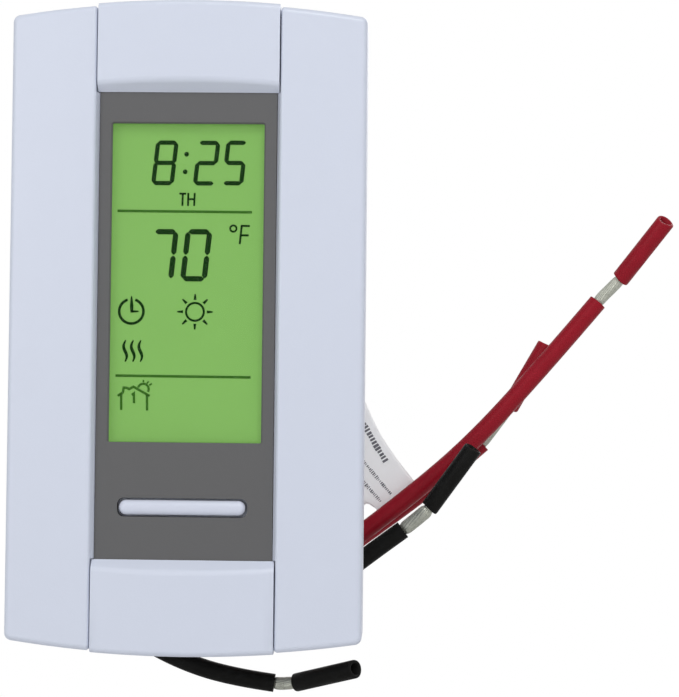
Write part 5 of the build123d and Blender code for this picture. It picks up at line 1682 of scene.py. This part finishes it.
@dataclass
class WireTag:
    """Paper flag folded round the front red lead behind the case."""

    lead: Lead
    wrap: Point = (29.5, 33.4, -47.0)
    back: float = 12.65
    thickness: float = 0.3
    slack: float = 0.08
    proud: float = 0.05
    bottom: Sequence[Flat] = (
        (30.2, -44.4), (33.2, -42.0), (33.9, -36.4), (35.3, -35.3),
        (37.2, -36.5), (38.2, -37.8), (46.0, -31.6),
    )
    top: Sequence[Flat] = ((25.0, -12.0), (28.2, -8.6), (31.8, -7.2))
    left: Sequence[Flat] = ((30.2, -44.4), (26.6, -38.0), (25.0, -24.0), (25.0, -12.0))
    right: Sequence[Flat] = (
        (46.0, -31.6), (41.54, -26.01), (38.15, -21.16), (35.88, -16.74), (31.8, -7.2),
    )
    heading: Sequence[Flat] = (
        (33.9, -17.9), (34.9, -19.5), (35.95, -21.26), (36.96, -23.07), (38.04, -24.72),
        (39.56, -27.11),
    )
    rows: Sequence[Sequence[Flat]] = (
        ((34.4, -26.5), (35.96, -28.36), (37.48, -30.15), (39.02, -31.93), (40.54, -33.58)),
        ((34.4, -30.8), (35.85, -32.43), (37.22, -33.91), (38.59, -35.41)),
    )

    def sheet_grid(self) -> Array:
        """The flag: a patch stretched between four edges.

        point = (1 - v) bottom(u) + v top(u) + (1 - u) left(v) + u right(v) - the bilinear corners,
        and the sheet curls back by 1.1 * v ** 2 * (1 - u) + 0.2 * v * sin(3 u + 2 v).

        Returns:
            The points, shaped (33, 33, 3).
        """
        share = np.linspace(0, 1, 33)
        u, v = share[None, :, None], share[:, None, None]
        bottom, top = at_shares(self.bottom, share), at_shares(self.top, share)
        left, right = at_shares(self.left, share), at_shares(self.right, share)
        level = (1 - u) * left[:, None] + u * right[:, None]
        upright = (1 - v) * bottom + v * top
        corners = (1 - v) * ((1 - u) * bottom[0] + u * bottom[-1])
        corners = corners + v * ((1 - u) * top[0] + u * top[-1])
        flat = upright + level - corners
        u, v = u[..., 0], v[..., 0]
        curl = 1.1 * v**2 * (1 - u) + 0.2 * v * np.sin(3 * u + 2 * v)
        return join(flat[..., 0], self.back + curl, flat[..., 1])

    def build(self) -> list[Object]:
        """Builds the paper and its print.

        Returns:
            The paper and the print.
        """
        paper = Surface("tag_flag")
        paper.add_grid(self.sheet_grid())
        middle = self.lead.middle()
        first, last, low = self.wrap
        held = (middle[:, 0] > first) & (middle[:, 0] < last) & (middle[:, 2] > low)
        angle = turns(48)
        ring = (self.lead.diameter / 2 + self.slack) * join(np.cos(angle), np.sin(angle))
        paper.add_grid(carry(ring, middle[held]), ring_columns=True)
        piece = paper.make(Finish.PAPER.material())
        sheet = piece.modifiers.new("paper_thickness", "SOLIDIFY")
        sheet.thickness = self.thickness * MM
        sheet.offset = 0.0
        declare(piece, "wall_base", "tag_paper", "wire_tag")
        return [piece, self.build_print()]

    def build_print(self) -> Object:
        """Prints a bold line and two fine ones, each a row of plain uneven bars with no letters.

        A bar's points lie just in front of the nearest points of the sheet.

        Returns:
            The print.
        """
        ink = Surface("tag_print")
        sheet = self.sheet_grid().reshape(-1, 3)
        generator = np.random.default_rng(7)
        lines = [(self.heading, 0.74, (0.4, 0.6), (0.95, 1.3))]
        lines += [(row, 0.42, (0.12, 0.3), (0.4, 0.85)) for row in self.rows]
        for corners, pitch, widths, heights in lines:
            length = length_of(np.array(corners))
            for start in np.arange(0, length - pitch, pitch):
                share = np.linspace(start, start + generator.uniform(*widths), 3) / length
                path = at_shares(corners, share)
                apart = np.linalg.norm(sheet[:, ::2] - path[:, None], axis=2)
                y = sheet[np.argmin(apart, axis=1), 1] - self.thickness / 2 - self.proud
                ink.add_ribbon(path, generator.uniform(*heights) / 2, y)
        piece = ink.make(Finish.PAPER_INK.material(), closed=False)
        return declare(piece, "wall_base", "tag_paper")


@dataclass
class Leads:
    """The four leads and the tag on one of them."""

    red_front: Lead = Lead(
        "red_front",
        133.8,
        (
            (-9.6, 10.2, -30.0), (-9.6, 10.2, -39.3), (-5.5, 10.2, -47.7), (1.8, 10.2, -53.4),
            (10.9, 10.3, -55.3), (19.9, 10.4, -53.1), (28.5, 10.5, -46.0), (44.9, 10.5, -33.3),
            (58.0, 10.5, -21.8), (73.1, 10.5, -4.8), (83.4, 10.5, 7.5),
        ),
        heel=(87.9, 9.9, 12.2),
        tip=(97.0, 4.9, 24.3),
        swell=0.14,
        askew=0.55,
    )
    others: Sequence[Lead] = (
        Lead(
            "red_rear",
            105.1,
            (
                (-16.0, 10.2, -30.0), (-16.0, 10.2, -39.5), (-12.1, 10.4, -48.3),
                (-4.7, 11.4, -55.0), (5.3, 13.4, -58.1), (15.7, 15.2, -56.6),
                (28.5, 15.9, -46.8), (50.5, 15.9, -30.6), (59.6, 15.9, -22.5),
            ),
            heel=(65.3, 15.6, -14.9),
            tip=(73.1, 14.6, -1.2),
            swell=0.0,
            knee=0.5,
        ),
        Lead(
            "black_side",
            66.5,
            (
                (-3.1, 5.2, -30.0), (-3.1, 5.2, -39.3), (1.0, 5.2, -47.7), (8.3, 5.3, -53.4),
                (17.4, 5.5, -55.3), (26.4, 5.8, -53.1), (34.6, 6.0, -46.6), (42.9, 6.0, -40.5),
            ),
            heel=(48.2, 5.0, -36.1),
            tip=(57.4, 3.4, -23.2),
            swell=0.34,
        ),
        Lead(
            "black_lower",
            66.2,
            (
                (-19.0, 5.2, -30.0), (-19.0, 5.2, -37.5), (-20.8, 5.2, -46.0),
                (-18.8, 5.3, -55.3), (-13.0, 5.5, -62.9), (-3.4, 5.8, -68.1),
                (7.2, 6.0, -71.4), (16.5, 6.0, -72.6),
            ),
            heel=(20.9, 5.4, -72.4),
            tip=(33.7, -3.0, -68.3),
        ),
    )

    def build(self) -> None:
        """Builds the tag with its lead, the other leads, and then the tails."""
        self.red_front.build(WireTag(self.red_front).build())
        for lead in self.others:
            lead.build()
        LeadTails().build()


# ================================================================ studio
def set_place(piece: Object, place: Point, *axes: Array) -> None:
    """Turns and places an object.

    Args:
        piece: The object.
        place: Its place in millimetres.
        axes: The directions of its own three axes.
    """
    matrix = np.eye(4)
    matrix[:3, :3] = np.stack(axes, axis=1)
    matrix[:3, 3] = np.array(place) * MM
    piece.matrix_world = Matrix(matrix.tolist())


@dataclass(frozen=True)
class Lamp:
    """A round soft lamp that faces the origin.

    Its place is in millimetres, its size in metres and its power in watts.
    """

    name: str
    place: Point
    size: float
    power: float

    def build(self) -> None:
        """Builds the lamp, with its third axis along the line from the origin."""
        data = bpy.data.lights.new(self.name, "AREA")
        data.shape = "DISK"
        data.size = self.size
        data.energy = self.power
        away = unit(np.array(self.place))
        side = unit(np.cross(np.array([0.0, 0.0, 1.0]), away))
        set_place(show(self.name, data), self.place, side, np.cross(away, side), away)


@dataclass
class Studio:
    """Camera, lamps, surroundings and floor."""

    eye: Point = (42.0, -420.0, -16.435)
    yaw: float = -0.029804
    pitch: float = 0.031678
    roll: float = 0.010737
    focal: float = 2042.72
    frame_width: float = 679.0
    floor_centre: Point = (20.0, 0.0, -115.0)
    floor_half: float = 4000.0
    floor_tone: float = 0.9
    near: float = 0.12
    far: float = 0.25
    soft_light: float = 0.37
    lamps: Sequence[Lamp] = (
        Lamp("soft_key", (260.0, -780.0, 720.0), 0.5, 5.3),
        Lamp("side_fill", (-560.0, -800.0, 200.0), 0.5, 1.8),
        Lamp("back_fill", (420.0, 900.0, 420.0), 0.6, 2.2),
    )

    def build_camera(self) -> None:
        """Builds the camera from its eye point, its three turns and its focal length in pixels."""
        data = bpy.data.cameras.new("camera")
        data.sensor_fit = "HORIZONTAL"
        data.sensor_width = 36.0
        data.lens = self.focal * data.sensor_width / self.frame_width
        data.clip_start, data.clip_end = 0.01, 50.0
        level = np.array([math.cos(self.yaw), -math.sin(self.yaw), 0.0])
        ahead = np.array([math.sin(self.yaw), math.cos(self.yaw), 0.0])
        rise = np.array([0.0, 0.0, 1.0])
        forward = math.cos(self.pitch) * ahead + math.sin(self.pitch) * rise
        upright = np.cross(level, forward)
        right = math.cos(self.roll) * level + math.sin(self.roll) * upright
        up = math.cos(self.roll) * upright - math.sin(self.roll) * level
        camera = show("camera", data)
        set_place(camera, self.eye, right, up, -forward)
        bpy.context.scene.camera = camera

    def build_world(self) -> None:
        """Soft light from all round; the camera, gloss and clear pieces see plain white."""
        world = bpy.data.worlds.new("surroundings")
        world.use_nodes = True
        world.node_tree.nodes.clear()
        canvas = Canvas(world.node_tree)
        light = [
            canvas.node("Background", {"Color": (1.0, 1.0, 1.0), "Strength": strength}).outputs[0]
            for strength in (self.soft_light, 1.0)
        ]
        both = canvas.node("MixShader", {0: canvas.seen(), 1: light[0], 2: light[1]})
        canvas.node("OutputWorld", {"Surface": both.outputs[0]})
        bpy.context.scene.world = world

    def build_floor(self) -> None:
        """A plain pale floor that goes over to white away from the object, with its shadow."""
        surface = Surface("floor")
        span = np.linspace(-self.floor_half, self.floor_half, 5)
        surface.add_grid(join(span[:, None], span, self.floor_centre[2]))
        paint = Paint("floor_pale", self.floor_centre)
        paint.shade((self.floor_tone,) * 3, 0.9, specular=0.1)
        reach = paint.node("VectorMath", {0: paint.vector}, operation="LENGTH").outputs["Value"]
        factor = paint.times(paint.seen(), paint.remap(reach, self.near, self.far))
        white = paint.node("Emission", {"Color": (1.0, 1.0, 1.0), "Strength": 1.0}).outputs[0]
        both = paint.node("MixShader", {0: factor, 1: paint.shader.outputs[0], 2: white})
        paint.feed(paint.tree.nodes["Material Output"].inputs["Surface"], both.outputs[0])
        floor = surface.make(paint.material, closed=False)
        floor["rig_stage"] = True

    def build(self) -> None:
        """Builds the whole studio."""
        bpy.context.scene.view_settings.view_transform = "Standard"
        self.build_camera()
        self.build_world()
        for lamp in self.lamps:
            lamp.build()
        self.build_floor()


def main() -> None:
    """Builds every sub-assembly in order and works out the two boxes, which are not kept."""
    logging.basicConfig(level=logging.INFO, format="%(name)s: %(message)s")
    front = (PillKey, Electronics, Fasteners, DisplayFigures, KeyLegends)
    for assembly in (Studio, Leads, Casework, *front):
        LOG.info("building %s", assembly.__name__)
        assembly().build()
    bpy.context.view_layer.update()
    boxes = {"cad": CAD_BOX, "visual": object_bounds()}
    boxes = {name: [list(corner) for corner in box] for name, box in boxes.items()}


if __name__ == "__main__":
    main()
